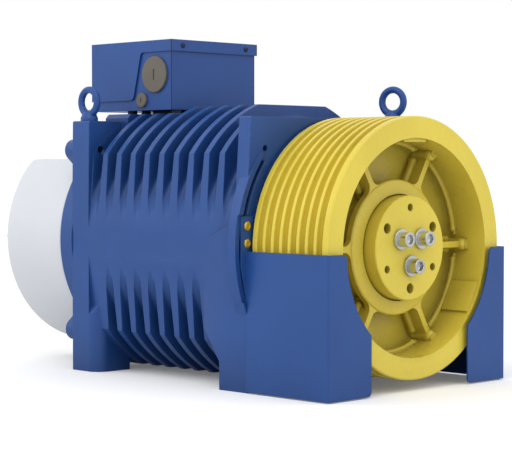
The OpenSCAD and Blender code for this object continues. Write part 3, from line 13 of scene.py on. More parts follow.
import bmesh
import bpy
import numpy as np
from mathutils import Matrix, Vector


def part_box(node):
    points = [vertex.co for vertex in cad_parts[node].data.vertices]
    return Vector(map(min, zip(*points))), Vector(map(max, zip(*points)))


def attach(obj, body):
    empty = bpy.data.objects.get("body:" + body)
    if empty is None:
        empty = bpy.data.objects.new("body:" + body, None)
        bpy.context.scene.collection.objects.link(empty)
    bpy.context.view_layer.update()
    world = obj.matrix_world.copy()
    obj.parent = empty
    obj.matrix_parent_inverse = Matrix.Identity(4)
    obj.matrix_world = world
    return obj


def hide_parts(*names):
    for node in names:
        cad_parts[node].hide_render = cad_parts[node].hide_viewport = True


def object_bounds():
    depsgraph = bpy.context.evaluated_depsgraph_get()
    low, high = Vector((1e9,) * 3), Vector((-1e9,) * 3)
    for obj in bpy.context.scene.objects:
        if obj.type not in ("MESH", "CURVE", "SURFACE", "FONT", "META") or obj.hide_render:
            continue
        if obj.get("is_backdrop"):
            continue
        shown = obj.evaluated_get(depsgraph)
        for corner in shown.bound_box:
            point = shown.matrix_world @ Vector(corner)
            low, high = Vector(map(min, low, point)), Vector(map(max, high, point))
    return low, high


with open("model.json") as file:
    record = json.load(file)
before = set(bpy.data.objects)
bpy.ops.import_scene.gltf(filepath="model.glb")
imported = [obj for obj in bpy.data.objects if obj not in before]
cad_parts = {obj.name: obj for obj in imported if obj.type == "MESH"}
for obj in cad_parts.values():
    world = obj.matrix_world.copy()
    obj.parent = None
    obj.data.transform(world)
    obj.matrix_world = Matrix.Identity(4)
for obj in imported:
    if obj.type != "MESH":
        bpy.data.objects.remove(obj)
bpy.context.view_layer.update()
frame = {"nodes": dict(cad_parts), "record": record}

NODES = frame["nodes"]
MOUNTS = {mount["name"]: mount for mount in frame["record"]["mounts"]}
AXIS_Z = 0.225

# %% [markdown]
# ## A kit for procedural finishes
# A finish could be painted on an image, but an image needs unwrapping and shows its grain when
# the camera comes close. Noise that is read at each point of the object has neither problem, so
# every finish here is built from it. A small helper keeps the node trees short: it adds a node,
# sets its values and wires its inputs in one call.

# %% Node helper
def coat(name):
    """A new material, its node tree, and the shader in that tree."""
    material = bpy.data.materials.new(name)
    material.use_nodes = True
    tree = material.node_tree
    shader = tree.nodes["Principled BSDF"]
    return material, tree, shader


def add(tree, kind, inputs=None, **settings):
    """Adds one node. Each input is either a plain value or the output socket that feeds it."""
    node = tree.nodes.new("ShaderNode" + kind)
    for key, value in settings.items():
        setattr(node, key, value)
    for key, value in (inputs or {}).items():
        if isinstance(value, bpy.types.NodeSocket):
            tree.links.new(value, node.inputs[key])
        else:
            node.inputs[key].default_value = value
    return node


def noise(tree, scale, detail=3.0, stretch=(1, 1, 1), distortion=0.0):
    """Noise from 0 to 1 on the object's own coordinates, stretched along its axes."""
    place = add(tree, "TexCoord").outputs["Object"]
    stretched = add(tree, "Mapping", {"Vector": place, "Scale": stretch})
    grain = add(tree, "TexNoise", {"Vector": stretched.outputs["Vector"], "Scale": scale,
                                   "Detail": detail, "Distortion": distortion})
    return grain.outputs["Fac"]


def between(tree, factor, low, high, start=0.35, end=0.65):
    """Maps a factor from start..end to low..high."""
    node = add(tree, "MapRange", {"Value": factor, "From Min": start, "From Max": end,
                                  "To Min": low, "To Max": high})
    return node.outputs["Result"]


def mixed(tree, factor, first, second):
    """Blends two colours by a factor."""
    node = add(tree, "Mix", {"Factor": factor}, data_type="RGBA")
    for socket, value in ((node.inputs[6], first), (node.inputs[7], second)):
        if isinstance(value, bpy.types.NodeSocket):
            tree.links.new(value, socket)
        else:
            socket.default_value = value
    return node.outputs[2]


def tint(srgb, gain=1.0):
    """A screen colour as the linear light that the shader works in."""
    c = np.array(srgb, float) / 255
    linear = np.where(c <= 0.04045, c / 12.92, ((c + 0.055) / 1.055) ** 2.4) * gain
    return (*np.clip(linear, 0, 1), 1.0)


def edges(tree, radius, low=0.02, high=0.16):
    """A mask of the sharp edges: how far the rounded normal leans from the true one."""
    soft = add(tree, "Bevel", {"Radius": radius}, samples=4)
    true = add(tree, "NewGeometry").outputs["Normal"]
    lean = add(tree, "VectorMath", {0: soft.outputs["Normal"], 1: true}, operation="DOT_PRODUCT")
    gap = add(tree, "Math", {0: 1.0, 1: lean.outputs["Value"]}, operation="SUBTRACT")
    return soft.outputs["Normal"], between(tree, gap.outputs[0], 0.0, 1.0, low, high)


print("finish kit ready")

# %% [markdown]
# ## Enamel on castings and on sheet
# The housing is grey iron with a sprayed two-coat enamel. Sprayed paint is never quite even: it
# has a faint orange peel, a slow drift in shade, and it pulls thin over sharp edges, where it
# wears lighter first; that lighter edge is also a painted highlight. A cast skin below it adds a
# coarser grain. The same recipe with less grain suits the sheet-metal guards and the box. The
# housing, the guards, the box and the sheave also get painted shade in their hollows.

# %% Enamel recipe
HOLLOW_REACH = 0.09
RIM_SHADE_LEFT = 0.15


def enamel(name, colour, grain=0.25, peel=0.12, radius=0.0012, rough=(0.3, 0.46), wear_and_highlight=0.35,
           painted_shade=0.0, shade_fades_from=None):
    """Paint over a base: slow drift of shade, orange peel, cast grain, lighter edges that show both
    wear and a painted highlight, and painted shade in the hollows, found by how little of the sky
    a point sees within HOLLOW_REACH. Beyond the given radius about the shaft, over the sheave's rim
    and rope grooves, only a trace of that painted shade is left."""
    material, tree, shader = coat(name)
    base = tint(colour)
    deep = tint(colour, 0.86)
    pale = tint([c + (255 - c) * 0.32 for c in colour])
    drift = between(tree, noise(tree, 7.0, 4.0), 0.0, 1.0, 0.3, 0.7)
    shade = mixed(tree, drift, deep, base)
    soft, edge = edges(tree, radius)
    # Lighter edges: partly paint thinned by wear, partly a painted highlight.
    broken = between(tree, noise(tree, 160.0, 5.0), 0.0, wear_and_highlight, 0.42, 0.62)
    rub_and_highlight = add(tree, "Math", {0: edge, 1: broken}, operation="MULTIPLY").outputs[0]
    shade = mixed(tree, rub_and_highlight, shade, pale)
    # Painted shade: where the AO node finds little open sky, the colour darkens towards a quarter
    # of itself.
    if painted_shade:
        shelter = add(tree, "AmbientOcclusion", {"Distance": HOLLOW_REACH}, samples=6)
        open_sky = shelter.outputs["AO"]
        hollow = between(tree, open_sky, painted_shade, 0.0, 0.25, 0.95)
        # Over the sheave's rim, beyond the given radius, the painted shade is cut to a trace.
        if shade_fades_from:
            place = add(tree, "TexCoord").outputs["Object"]
            flat = add(tree, "VectorMath", {0: place, 1: (1, 0, 1)}, operation="MULTIPLY")
            far = add(tree, "VectorMath", {0: flat.outputs[0], 1: (0, 0, AXIS_Z)},
                      operation="DISTANCE")
            kept = between(tree, far.outputs["Value"], 1.0, RIM_SHADE_LEFT,
                           shade_fades_from - 0.002, shade_fades_from + 0.002)
            hollow = add(tree, "Math", {0: hollow, 1: kept}, operation="MULTIPLY").outputs[0]
        shade = mixed(tree, hollow, shade, tint(colour, 0.25))
    tree.links.new(shade, shader.inputs["Base Color"])
    gloss = between(tree, noise(tree, 26.0, 6.0), rough[0], rough[1])
    tree.links.new(gloss, shader.inputs["Roughness"])
    skin = add(tree, "Bump", {"Strength": grain, "Distance": 0.0004,
                              "Height": noise(tree, 420.0, 4.0), "Normal": soft})
    peeled = add(tree, "Bump", {"Strength": peel, "Distance": 0.0003,
                                "Height": noise(tree, 900.0, 1.0),
                                "Normal": skin.outputs["Normal"]})
    tree.links.new(peeled.outputs["Normal"], shader.inputs["Normal"])
    shader.inputs["Specular IOR Level"].default_value = 0.38
    return material


BLUE = (36, 80, 150)
YELLOW = (235, 213, 80)
# The housing, the guards and box, and the sheave get painted shade in their hollows.
cast_blue = enamel("cast_blue_enamel", BLUE, grain=0.3, radius=0.0022, painted_shade=0.6)
shield_blue = enamel("shield_blue_enamel", BLUE, grain=0.2, radius=0.0015)
sheet_blue = enamel("sheet_blue_enamel", BLUE, grain=0.05, peel=0.16, radius=0.0012,
                    rough=(0.3, 0.42), painted_shade=0.22)
forged_blue = enamel("forged_blue_enamel", BLUE, grain=0.25, radius=0.0006)
cast_yellow = enamel("cast_yellow_enamel", YELLOW, grain=0.2, radius=0.0010,
                     rough=(0.22, 0.34), painted_shade=0.6, shade_fades_from=0.180)
print("enamels:", cast_blue.name, sheet_blue.name, cast_yellow.name)

# %% [markdown]
# ## Bare metals
# Turned and ground steel shows fine rings or lines left by the tool. Stretching the noise along
# one axis gives such lines at no cost. The roughness follows a second, slower noise, which reads
# as handling marks and thin oil.

# %% Metal recipe
def metal(name, colour, rough=(0.2, 0.36), lines=(1, 1, 1), depth=0.15, radius=0.0005, stain=0.85):
    """Bare metal: tool lines as stretched noise, cloudy roughness and slightly darker stains."""
    material, tree, shader = coat(name)
    shader.inputs["Metallic"].default_value = 1.0
    cloud = noise(tree, 30.0, 5.0)
    shade = mixed(tree, between(tree, cloud, 0.0, 1.0), tint(colour, stain), tint(colour))
    tree.links.new(shade, shader.inputs["Base Color"])
    gloss = between(tree, noise(tree, 55.0, 4.0), rough[0], rough[1])
    tree.links.new(gloss, shader.inputs["Roughness"])
    soft, _ = edges(tree, radius)
    cut = add(tree, "Bump", {"Strength": depth, "Distance": 0.0002,
                             "Height": noise(tree, 500.0, 2.0, lines), "Normal": soft})
    tree.links.new(cut.outputs["Normal"], shader.inputs["Normal"])
    return material


bright_steel = metal("bright_zinc_steel", (205, 207, 208), rough=(0.16, 0.3))
yellow_zinc = metal("yellow_zinc_steel", (212, 190, 96), rough=(0.24, 0.4))
turned_steel = metal("turned_steel", (170, 171, 172), lines=(0.2, 6, 0.2), rough=(0.25, 0.4))
ground_steel = metal("ground_bearing_steel", (196, 198, 200), lines=(0.2, 8, 0.2),
                     rough=(0.12, 0.22))
core_steel = metal("stacked_core_steel", (120, 122, 126), lines=(0.05, 14, 0.05), depth=0.5,
                   rough=(0.4, 0.6))
magnet_plate = metal("magnet_nickel_plate", (150, 150, 152), rough=(0.25, 0.4))
brake_iron = metal("phosphated_brake_iron", (70, 72, 76), rough=(0.5, 0.68), depth=0.25)
copper_wire = metal("lacquered_copper", (176, 98, 52), lines=(5, 0.3, 5), depth=0.5,
                    rough=(0.25, 0.4))
print("metals ready")

# %% [markdown]
# ## Spun cover, plastics and rubber
# The brake cover is spun sheet with a pale satin coat. Plastics are not metallic, and their
# moulded skin scatters light a little, so they only need a soft roughness and a fine grain.

# %% Cover, plastic and rubber recipes
def satin(name, colour, rough=(0.4, 0.55), grain=0.1, scale=700.0, stretch=(1, 1, 1),
          radius=0.001, tone=0.93):
    """An unpolished, non-metallic skin: slight drift of shade, cloudy gloss and a fine grain."""
    material, tree, shader = coat(name)
    drift = between(tree, noise(tree, 9.0, 5.0), 0.0, 1.0, 0.3, 0.7)
    shade = mixed(tree, drift, tint(colour, tone), tint(colour))
    tree.links.new(shade, shader.inputs["Base Color"])
    gloss = between(tree, noise(tree, 40.0, 5.0), rough[0], rough[1])
    tree.links.new(gloss, shader.inputs["Roughness"])
    soft, _ = edges(tree, radius)
    bump = add(tree, "Bump", {"Strength": grain, "Distance": 0.0003,
                              "Height": noise(tree, scale, 3.0, stretch), "Normal": soft})
    tree.links.new(bump.outputs["Normal"], shader.inputs["Normal"])
    return material


cover_coat = satin("satin_cover_coat", (220, 224, 230), rough=(0.34, 0.46),
                   stretch=(0.3, 3, 0.3), tone=0.95)
plug_grey = satin("plug_grey_plastic", (104, 98, 88), rough=(0.45, 0.6))
# Black plastic; the same finish paints the shade in the plug slots.
black_plastic = satin("black_plastic", (34, 35, 38), rough=(0.4, 0.55))
pale_plastic = satin("pale_terminal_plastic", (214, 208, 194))
seal_rubber = satin("seal_rubber", (26, 24, 22), rough=(0.6, 0.8), grain=0.3)
lining = satin("friction_lining", (96, 84, 72), rough=(0.7, 0.88), grain=0.7, scale=380.0)
dark_spacer = satin("dark_spacer_coat", (24, 34, 56), rough=(0.5, 0.7))
# A dark blue that paints shade: the hairline joints at the box's corners and the lid screws.
dark_shade_paint = satin("dark_shade_paint", (14, 32, 78), rough=(0.45, 0.6))
print("plain finishes ready")

# %% [markdown]
# ## Dress the exact solids
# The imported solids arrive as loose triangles. Welding them in a modifier and splitting only the
# edges that turn by more than 30 degrees makes round faces shade smoothly and keeps the machined
# edges crisp. The solids themselves are not touched.

# %% Mesh helpers
CREASE = math.radians(30)


def smooth(mesh, material):
    """Gives a mesh one material and shades every face smoothly, by its own shape alone."""
    mesh.materials.clear()
    mesh.materials.append(material)
    for name in ("custom_normal", "sharp_face"):
        if name in mesh.attributes:
            mesh.attributes.remove(mesh.attributes[name])
    mesh.polygons.foreach_set("use_smooth", np.ones(len(mesh.polygons), bool))


def creased(piece):
    """Splits the edges of a piece that turn by more than CREASE."""
    crease = piece.modifiers.new("crease", "EDGE_SPLIT")
    crease.split_angle = CREASE
    crease.use_edge_sharp = False


def placed(name, data):
    """A new object at the origin for a mesh, a lamp or a camera, linked to the scene."""
    holder = bpy.data.objects.new(name, data)
    bpy.context.scene.collection.objects.link(holder)
    return holder


print("mesh helpers ready")

# %% Finish every solid
FINISHES = {
    cast_blue: ["stator_housing"],
    shield_blue: ["front_shield", "rear_shield"],
    sheet_blue: ["left_rope_guard", "right_rope_guard", "terminal_box", "terminal_box_lid"],
    forged_blue: ["eyebolts"],
    cast_yellow: ["traction_sheave"],
    bright_steel: ["front_shield_screws", "lug_screws", "sheave_screws", "sheave_washers",
                   "box_screws", "cover_screws", "springs_1", "springs_2", "brake_sleeves",
                   "brake_studs"],
    yellow_zinc: ["guard_screws"],
    turned_steel: ["rotor_drum", "main_shaft", "bearing_cap", "sheave_key", "brake_hub",
                   "encoder_bracket", "encoder_body"],
    ground_steel: ["front_bearing_outer", "front_bearing_inner", "front_bearing_rollers",
                   "rear_bearing_outer", "rear_bearing_inner", "rear_bearing_balls"],
    core_steel: ["stator_core"],
    magnet_plate: ["rotor_magnets"],
    copper_wire: ["stator_winding", "brake_coils"],
    brake_iron: ["armature_plate_1", "armature_plate_2", "brake_magnet_1", "brake_magnet_2",
                 "brake_mid_plate"],
    lining: ["friction_disc_1", "friction_disc_2"],
    seal_rubber: ["shaft_seal"],
    cover_coat: ["brake_cover"],
    plug_grey: ["large_plug", "small_plug"],
    black_plastic: ["cable_duct", "cover_plug"],
    dark_spacer: ["box_spacers"],
    # The lid screws take that dark blue as painted shade round their heads.
    dark_shade_paint: ["lid_screws"],
    pale_plastic: ["terminal_block"],
}


def dress(node, material):
    """Puts one material on a solid and shades its round faces smoothly."""
    solid = NODES[node]
    smooth(solid.data, material)
    weld = solid.modifiers.new("weld", "WELD")
    weld.merge_threshold = 1e-5
    creased(solid)
    even = solid.modifiers.new("even", "WEIGHTED_NORMAL")
    even.weight = 100


for material, names in FINISHES.items():
    for name in names:
        dress(name, material)
missing = sorted(set(NODES) - {n for names in FINISHES.values() for n in names})
print("dressed", len(NODES) - len(missing), "solids; without a finish:", missing)

# %% [markdown]
# ## Surfaces from numpy
# A turned piece is a profile carried round an axis, and a ring is a small circle carried round a
# large one. Both are a grid of points from two parameters. One helper turns any number of such
# grids into one closed mesh, joining the last row to the first where the surface goes round.

# %% Grid to mesh
def grid_faces(rows, columns, wrap_rows, offset):
    """Quads between neighbours of a grid. Columns always go round; rows go round on request."""
    r = np.arange(rows if wrap_rows else rows - 1)[:, None]
    c = np.arange(columns)[None, :]
    r2, c2 = (r + 1) % rows, (c + 1) % columns
    quads = np.stack([r * columns + c, r * columns + c2, r2 * columns + c2, r2 * columns + c], -1)
    return quads.reshape(-1, 4) + offset


def build(name, grids, material, body, *replaced, wrap_rows=False):
    """Joins point grids (rows, columns, 3) into one mesh that rides on a body."""
    points, faces, offset = [], [], 0
    for grid in grids:
        rows, columns, _ = grid.shape
        points.append(grid.reshape(-1, 3))
        faces.append(grid_faces(rows, columns, wrap_rows, offset))
        offset += rows * columns
    points, faces = np.concatenate(points), np.concatenate(faces)
    mesh = bpy.data.meshes.new(name)
    mesh.from_pydata(points.tolist(), [], faces.tolist())
    smooth(mesh, material)
    close(mesh)
    piece = placed(name, mesh)
    creased(piece)
    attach(piece, body)
    if replaced:
        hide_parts(*replaced)
    print(f"{name}: {len(mesh.vertices)} points, {len(mesh.polygons)} faces")
    return piece


def close(mesh):
    """Merges the doubled points at the poles and points every face outwards."""
    work = bmesh.new()
    work.from_mesh(mesh)
    bmesh.ops.remove_doubles(work, verts=work.verts, dist=1e-7)
    bmesh.ops.recalc_face_normals(work, faces=work.faces)
    work.to_mesh(mesh)
    work.free()


print("surface kit ready")

# %% [markdown]
# ## Rounded profiles
# A lathe tool never leaves a perfectly sharp corner. Each corner of a profile gets a short arc:
# the two points where the arc leaves the straight lines are set back from the corner, and the
# arc between them is a quadratic curve with the corner as its control point.

# %% Rounded profile and lathe
def rounded(corners, cuts, steps=5):
    """Replaces corner i by a curve that leaves the lines cuts[i] away from the corner.
    The curve is (1-t)^2 before + 2t(1-t) corner + t^2 after."""
    corners = np.array(corners, float)
    out = [corners[:1]]
    t = np.linspace(0, 1, steps)[:, None]
    for i in range(1, len(corners) - 1):
        here = corners[i]
        back, on = corners[i - 1] - here, corners[i + 1] - here
        cut = min(cuts[i], 0.49 * np.linalg.norm(back), 0.49 * np.linalg.norm(on))
        if cut <= 0:
            out.append(here[None])
            continue
        before = here + back / np.linalg.norm(back) * cut
        after = here + on / np.linalg.norm(on) * cut
        out.append((1 - t) ** 2 * before + 2 * t * (1 - t) * here + t ** 2 * after)
    out.append(corners[-1:])
    return np.concatenate(out)


def turn(centre, out, up, heights, radii):
    """Point grid of rings about the axis out through centre, where radii holds one radius for
    each row and each angle: centre + height * out + radius * (cos a * up + sin a * side)."""
    out, up = np.array(out, float), np.array(up, float)
    a = np.arange(radii.shape[1]) * 2 * np.pi / radii.shape[1]
    ring = np.cos(a)[None, :, None] * up + np.sin(a)[None, :, None] * np.cross(out, up)
    return np.array(centre) + heights[:, None, None] * out + radii[:, :, None] * ring


def lathe(profile, centre, out, up, count=96):
    """Point grid of a profile [radius, height] turned about the axis out through centre."""
    profile = np.array(profile)
    return turn(centre, out, up, profile[:, 1], np.repeat(profile[:, :1], count, axis=1))


print("lathe ready")

# %% [markdown]
# ## Socket screws
# The screws have a hexagonal socket. A hexagon is a circle whose radius changes with the angle:
# the flat's distance divided by the cosine of the angle from the middle of that flat. So the
# same lathe grid gives the socket, if the radius of its inner rows is multiplied by that ratio.

# %% Socket head surface
def socket_head(centre, out, up, radius, height, across, button=0.0, count=96):
    """A screw head with a hexagonal socket. Rows [radius, height, 1 in the socket] go from the
    socket's floor, up its walls, over the rounded rim and down the side to the seat. button
    lowers the rim for a domed head."""
    a = np.arange(count) * 2 * np.pi / count
    hexagon = 1 / np.cos((a + np.pi / 6) % (np.pi / 3) - np.pi / 6)
    half = across / 2
    lip_r = half * 1.16 + 0.10 * radius
    fillet = radius * 0.09
    ring_r = radius - fillet
    rows = [(0, height * 0.52, 0), (half * 0.9, height * 0.60, 1), (half, height * 0.62, 1),
            (half, height * 0.93, 1), (half * 1.04, height * 0.985, 1), (lip_r, height, 0)]
    rows += [(lip_r + (ring_r - lip_r) * s, height - button * s ** 2, 0)
             for s in np.linspace(0, 1, 6)[1:]]
    rows += [(ring_r + fillet * np.sin(b), height - button - fillet * (1 - np.cos(b)), 0)
             for b in np.linspace(0, np.pi / 2, 7)[1:]]
    rows += [(radius, 0.0, 0), (0, 0.0, 0)]
    rows = np.array(rows)
    radii = rows[:, :1] * np.where(rows[:, 2:] > 0, hexagon, 1.0)
    return turn(centre, out, up, rows[:, 1], radii)


def shank(centre, out, up, radius, length, count=48):
    """A plain shank below a head, with a small chamfer at its tip."""
    profile = [(0, 0), (radius, 0), (radius, -length + radius * 0.2), (radius * 0.8, -length),
               (0, -length)]
    return lathe(profile, centre, out, up, count)


def around(radius, angles, y):
    """Places on a circle about the shaft, at the given angles in degrees from +X."""
    a = np.radians(angles)
    return np.stack([radius * np.cos(a), y + 0 * a, AXIS_Z + radius * np.sin(a)], -1)


print("screw kit ready")

# %% [markdown]
# ### Sheave screws and washers
# Three socket screws pull the sheave onto the shaft end, each over a thick turned washer. They
# are bright in the middle of the yellow hub, so their sockets and rounded rims catch the eye.

# %% Sheave screws
FRONT = (0, -1, 0)
REAR = (0, 1, 0)
UP = (0, 0, 1)
SCREW_RING, SCREW_ANGLES = 0.0285, (30, 150, 270)
HEAD_R, SOCKET, SHANK_R = 0.012, 0.014, 0.0079
screw_low, screw_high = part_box("sheave_screws")
washer_low, washer_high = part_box("sheave_washers")
washer_t = washer_high.y - washer_low.y
places = around(SCREW_RING, SCREW_ANGLES, washer_low.y)
grids = []
for place in places:
    grids.append(socket_head(place, FRONT, UP, HEAD_R, place[1] - screw_low.y, SOCKET))
    grids.append(shank(place, FRONT, UP, SHANK_R, screw_high.y - place[1]))
build("hub_socket_screws", grids, bright_steel, "rotor", "sheave_screws")

BORE_R, WASHER_R = 0.0085, 0.0165
washer = rounded([(BORE_R, 0), (WASHER_R, 0), (WASHER_R, washer_t), (BORE_R, washer_t),
                  (BORE_R, 0)], [0, 0.0002, 0.0009, 0.0006, 0])
grids = [lathe(washer, place + (0, washer_t, 0), FRONT, UP, 72) for place in places]
build("hub_washers", grids, bright_steel, "rotor", "sheave_washers")

# %% [markdown]
# ### Lands between the rope grooves, and the collar round the hub
# Between two grooves the rim keeps a flat land about 6 mm wide, turned square, which catches the
# light all the way round; it keeps the sheave's yellow enamel. Each land is a ring with rounded
# shoulders, seated on the solid's narrower crest. The disc behind the hub rises towards it as a
# shallow cone and ends in a thin open groove, the run-out of the tool that turned the hub.

# %% Lands and hub collar
low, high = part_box("traction_sheave")
SHEAVE_Y, RIM_R = low.y, (high.z - low.z) / 2
RIM_WIDE, RIM_EDGE = high.y - low.y, 0.0045
PITCH, FIRST, GROOVES = 0.018, 0.017, 8
LAND, SINK, PROUD = 0.0031, 0.0075, 0.00015


def land(y0, y1):
    """A ring from y0 to y1 with its top just proud of the rim and rounded shoulders."""
    section = rounded([(RIM_R - SINK, y0), (RIM_R + PROUD, y0), (RIM_R + PROUD, y1),
                       (RIM_R - SINK, y1), (RIM_R - SINK, y0)], [0, 0.0011, 0.0011, 0, 0], steps=6)
    return lathe(section, (0, SHEAVE_Y, AXIS_Z), REAR, UP, 256)


crests = [FIRST + (i - 0.5) * PITCH for i in range(GROOVES + 1)]
lands = [land(RIM_EDGE, crests[0] + LAND)]
lands += [land(y - LAND, y + LAND) for y in crests[1:-1]]
lands.append(land(crests[-1] - LAND, RIM_WIDE - RIM_EDGE))
rope_lands = build("rope_groove_lands", lands, cast_yellow, "rotor")

IN_R, OUT_R, ROOT_Y = 0.0850, 0.1064, 0.050
collar = rounded([(IN_R, ROOT_Y), (IN_R, 0.0378), (OUT_R, 0.0421), (OUT_R, ROOT_Y), (IN_R, ROOT_Y)],
                 [0, 0.0010, 0.0012, 0, 0], steps=6)
collar = lathe(collar, (0, SHEAVE_Y, AXIS_Z), REAR, UP, 192)
hub_collar = build("hub_collar", [collar], cast_yellow, "rotor")

# %% [markdown]
# ### Rods and bulbs in the sheave's dish
# The pattern maker laid round rods into the corners of the dish: one along each side of a
# spoke's foot, one along the wall between two spokes, and a thicker one where a spoke meets the
# wall. All of them end in a ball. A rod is a circle carried along a path; its radius over the
# length s is the larger of the rod's own and the ball's, sqrt(B^2 - (s - B)^2), at both ends.

# %% Rods of the dish
def rod_profile(length, thin, ball, steps=9, middle=24):
    """Places along a rod and its radius there: a ball at each end, the plain rod between."""
    a = np.linspace(0, np.pi, steps)
    head = ball * (1 - np.cos(a))
    plain = np.linspace(2 * ball, length - 2 * ball, middle)[1:-1]
    along = np.concatenate([head, plain, length - head[::-1]])
    near = np.minimum(along, length - along)
    bulge = np.sqrt(np.clip(ball ** 2 - (near - ball) ** 2, 0, None))
    return along, np.where(near < ball, bulge, np.maximum(bulge, thin))


def tube(centres, radii, u, v, sides=20):
    """Circles of the given radii about the centres, in the planes of u and v, each one vector
    or one for each centre."""
    u, v = np.broadcast_to(u, centres.shape), np.broadcast_to(v, centres.shape)
    b = np.arange(sides) * 2 * np.pi / sides
    turn = np.cos(b)[None, :, None] * u[:, None] + np.sin(b)[None, :, None] * v[:, None]
    return centres[:, None] + radii[:, None, None] * turn


def polar(a):
    """Unit vectors outwards and sideways at the angle a about the shaft."""
    a = np.asarray(a, float)
    outwards = np.stack([np.cos(a), 0 * a, np.sin(a)], -1)
    return outwards, np.stack([-np.sin(a), 0 * a, np.cos(a)], -1)


HUB = np.array([0, SHEAVE_Y, AXIS_Z])
SPOKES = 6
FOOT_FROM, FOOT_LONG, FOOT_ASIDE, FOOT_DEEP = 0.101, 0.060, 0.0078, 0.0685
POST_R, POST_FROM, POST_LONG = 0.1705, 0.0345, 0.046
WALL_R, WALL_DEEP, WALL_ENDS = 0.1695, 0.0625, (6.5, 53.5)
FOOT_ROD, POST_ROD, WALL_ROD = (0.0058, 0.0068), (0.0095, 0.0105), (0.0042, 0.0056)
inwards = np.array(REAR, float)
rods = []
for k in range(SPOKES):
    away, aside = polar(math.radians(60 * k))
    along, r = rod_profile(FOOT_LONG, *FOOT_ROD)
    for sign in (-1, 1):
        centres = HUB + away * (FOOT_FROM + along)[:, None] + aside * sign * FOOT_ASIDE
        rods.append(tube(centres + inwards * FOOT_DEEP, r, aside, inwards))
    along, r = rod_profile(POST_LONG, *POST_ROD)
    centres = HUB + away * POST_R + inwards * (POST_FROM + along)[:, None]
    rods.append(tube(centres, r, away, aside, 28))
    first, last = (math.radians(60 * k + end) for end in WALL_ENDS)
    along, r = rod_profile((last - first) * WALL_R, *WALL_ROD, middle=48)
    away, _ = polar(first + along / WALL_R)
    rods.append(tube(HUB + away * WALL_R + inwards * WALL_DEEP, r, away, inwards))
dish_rods = build("sheave_dish_rods", rods, cast_yellow, "rotor")

# %% [markdown]
# ### Lug and guard screws
# The lug screws at the rear are painted over with the shield, so only a low round head shows,
# a lathe grid of four rows. The two yellow-plated screws on each guard's tab take the socket
# head's surface with a domed rim.

# %% Lug and guard screws
LUG_Y, LUG_Z, LUG_R, LUG_HEAD = 0.250, 0.157, 0.012, 0.0022
low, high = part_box("lug_screws")
head = [(0, LUG_HEAD), (0.0095, LUG_HEAD), (LUG_R, LUG_HEAD / 2), (LUG_R, 0), (0, 0)]
grids = []
for sx in (-1, 1):
    for sz in (-1, 1):
        seat = np.array([sx * (high.x - LUG_R), LUG_Y, AXIS_Z + sz * LUG_Z])
        grids.append(lathe(head, seat, REAR, UP, 48))
        grids.append(shank(seat, REAR, UP, SHANK_R, LUG_Y - low.y))
lugs = build("lug_socket_screws", grids, shield_blue, "machine", "lug_screws")

TAB_X, TAB_Y, TAB_ROWS = 0.2135, -0.2225, (0.009, 0.036)
BUTTON_R, BUTTON_SOCKET, BUTTON_DROP, BUTTON_SHANK = 0.0075, 0.005, 0.0012, 0.0039
low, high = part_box("guard_screws")
grids = []
for sx in (-1, 1):
    for z in TAB_ROWS:
        seat = np.array([sx * TAB_X, TAB_Y, AXIS_Z + z])
        grids.append(socket_head(seat, FRONT, UP, BUTTON_R, TAB_Y - low.y, BUTTON_SOCKET,
                                 BUTTON_DROP))
        grids.append(shank(seat, FRONT, UP, BUTTON_SHANK, high.y - TAB_Y))
build("guard_button_screws", grids, yellow_zinc, "machine", "guard_screws")

# %% [markdown]
# ## Lips along the flange's curved slots
# Beside each curved slot of the front flange the casting has a low lip, left where the slot was
# cored. It is a small square section with rounded corners, carried along an arc about the shaft
# axis and closed at both ends: centre + r * (cos a, 0, sin a), with r and y from the section.

# %% Slot lips
def lip(radius_mm, wide_mm, tall_mm, y, start, stop, count=64):
    """A lip of width wide and height tall, at one radius, from angle start to stop in degrees."""
    half = wide_mm / 2000
    r0, top, foot = radius_mm / 1000, y - tall_mm / 1000, y + 0.002
    section = rounded([(r0 - half, foot), (r0 - half, top), (r0 + half, top), (r0 + half, foot)],
                      [0, half * 0.6, half * 0.6, 0], steps=4)
    middle = section.mean(0)
    a = np.radians(np.linspace(start, stop, count))
    a = np.concatenate([a[:1], a, a[-1:]])
    share = np.ones(count + 2)
    share[[0, -1]] = 0
    section = middle + share[:, None, None] * (section - middle)
    r = section[..., 0]
    return np.stack([r * np.cos(a)[:, None], section[..., 1], AXIS_Z + r * np.sin(a)[:, None]], -1)


FLANGE_Y = -0.220
LIP_R, LIP_WIDE, LIP_TALL = 220.3, 2.2, 2.9
SPANS = ((14.2, 38.0), (-38.0, -17.5))
lips = []
for left in (False, True):
    for start, stop in SPANS:
        ends = (180 - stop, 180 - start) if left else (start, stop)
        lips.append(lip(LIP_R, LIP_WIDE, LIP_TALL, FLANGE_Y, *ends))
slot_lips = build("flange_slot_lips", lips, cast_blue, "machine")

# %% [markdown]
# ## Forged lifting eyes
# An eyebolt is forged in one piece: a round ring that thickens where it runs into a flared neck
# above a flat collar. The ring is a circle carried round a circle, and its thickness grows
# towards the neck by the cosine of the angle from the lowest point. The neck is a turned profile
# that ends inside the ring, so the two read as one forging.

# %% Lifting eyes
EYE_R, EYE_T = 0.021, 0.006


def eye_ring(centre, heading, rings=96, sides=32):
    """A torus whose tube swells towards its lowest point: centre + (R + t cos v) * radial
    + t sin v * across, with t = T * (1 + 0.14 * max(0, cos(u - bottom))^3)."""
    u = np.arange(rings)[:, None] * 2 * np.pi / rings
    v = np.arange(sides)[None, :] * 2 * np.pi / sides
    t = EYE_T * (1 + 0.14 * np.clip(-np.sin(u), 0, 1) ** 3)
    along = np.array([-math.sin(heading), math.cos(heading), 0])
    across = np.array([math.cos(heading), math.sin(heading), 0])
    radial = np.cos(u)[..., None] * along + np.sin(u)[..., None] * np.array(UP)
    reach = np.minimum(EYE_R + t * np.cos(v), EYE_R + EYE_T)
    return np.array(centre) + reach[..., None] * radial + (t * np.sin(v))[..., None] * across


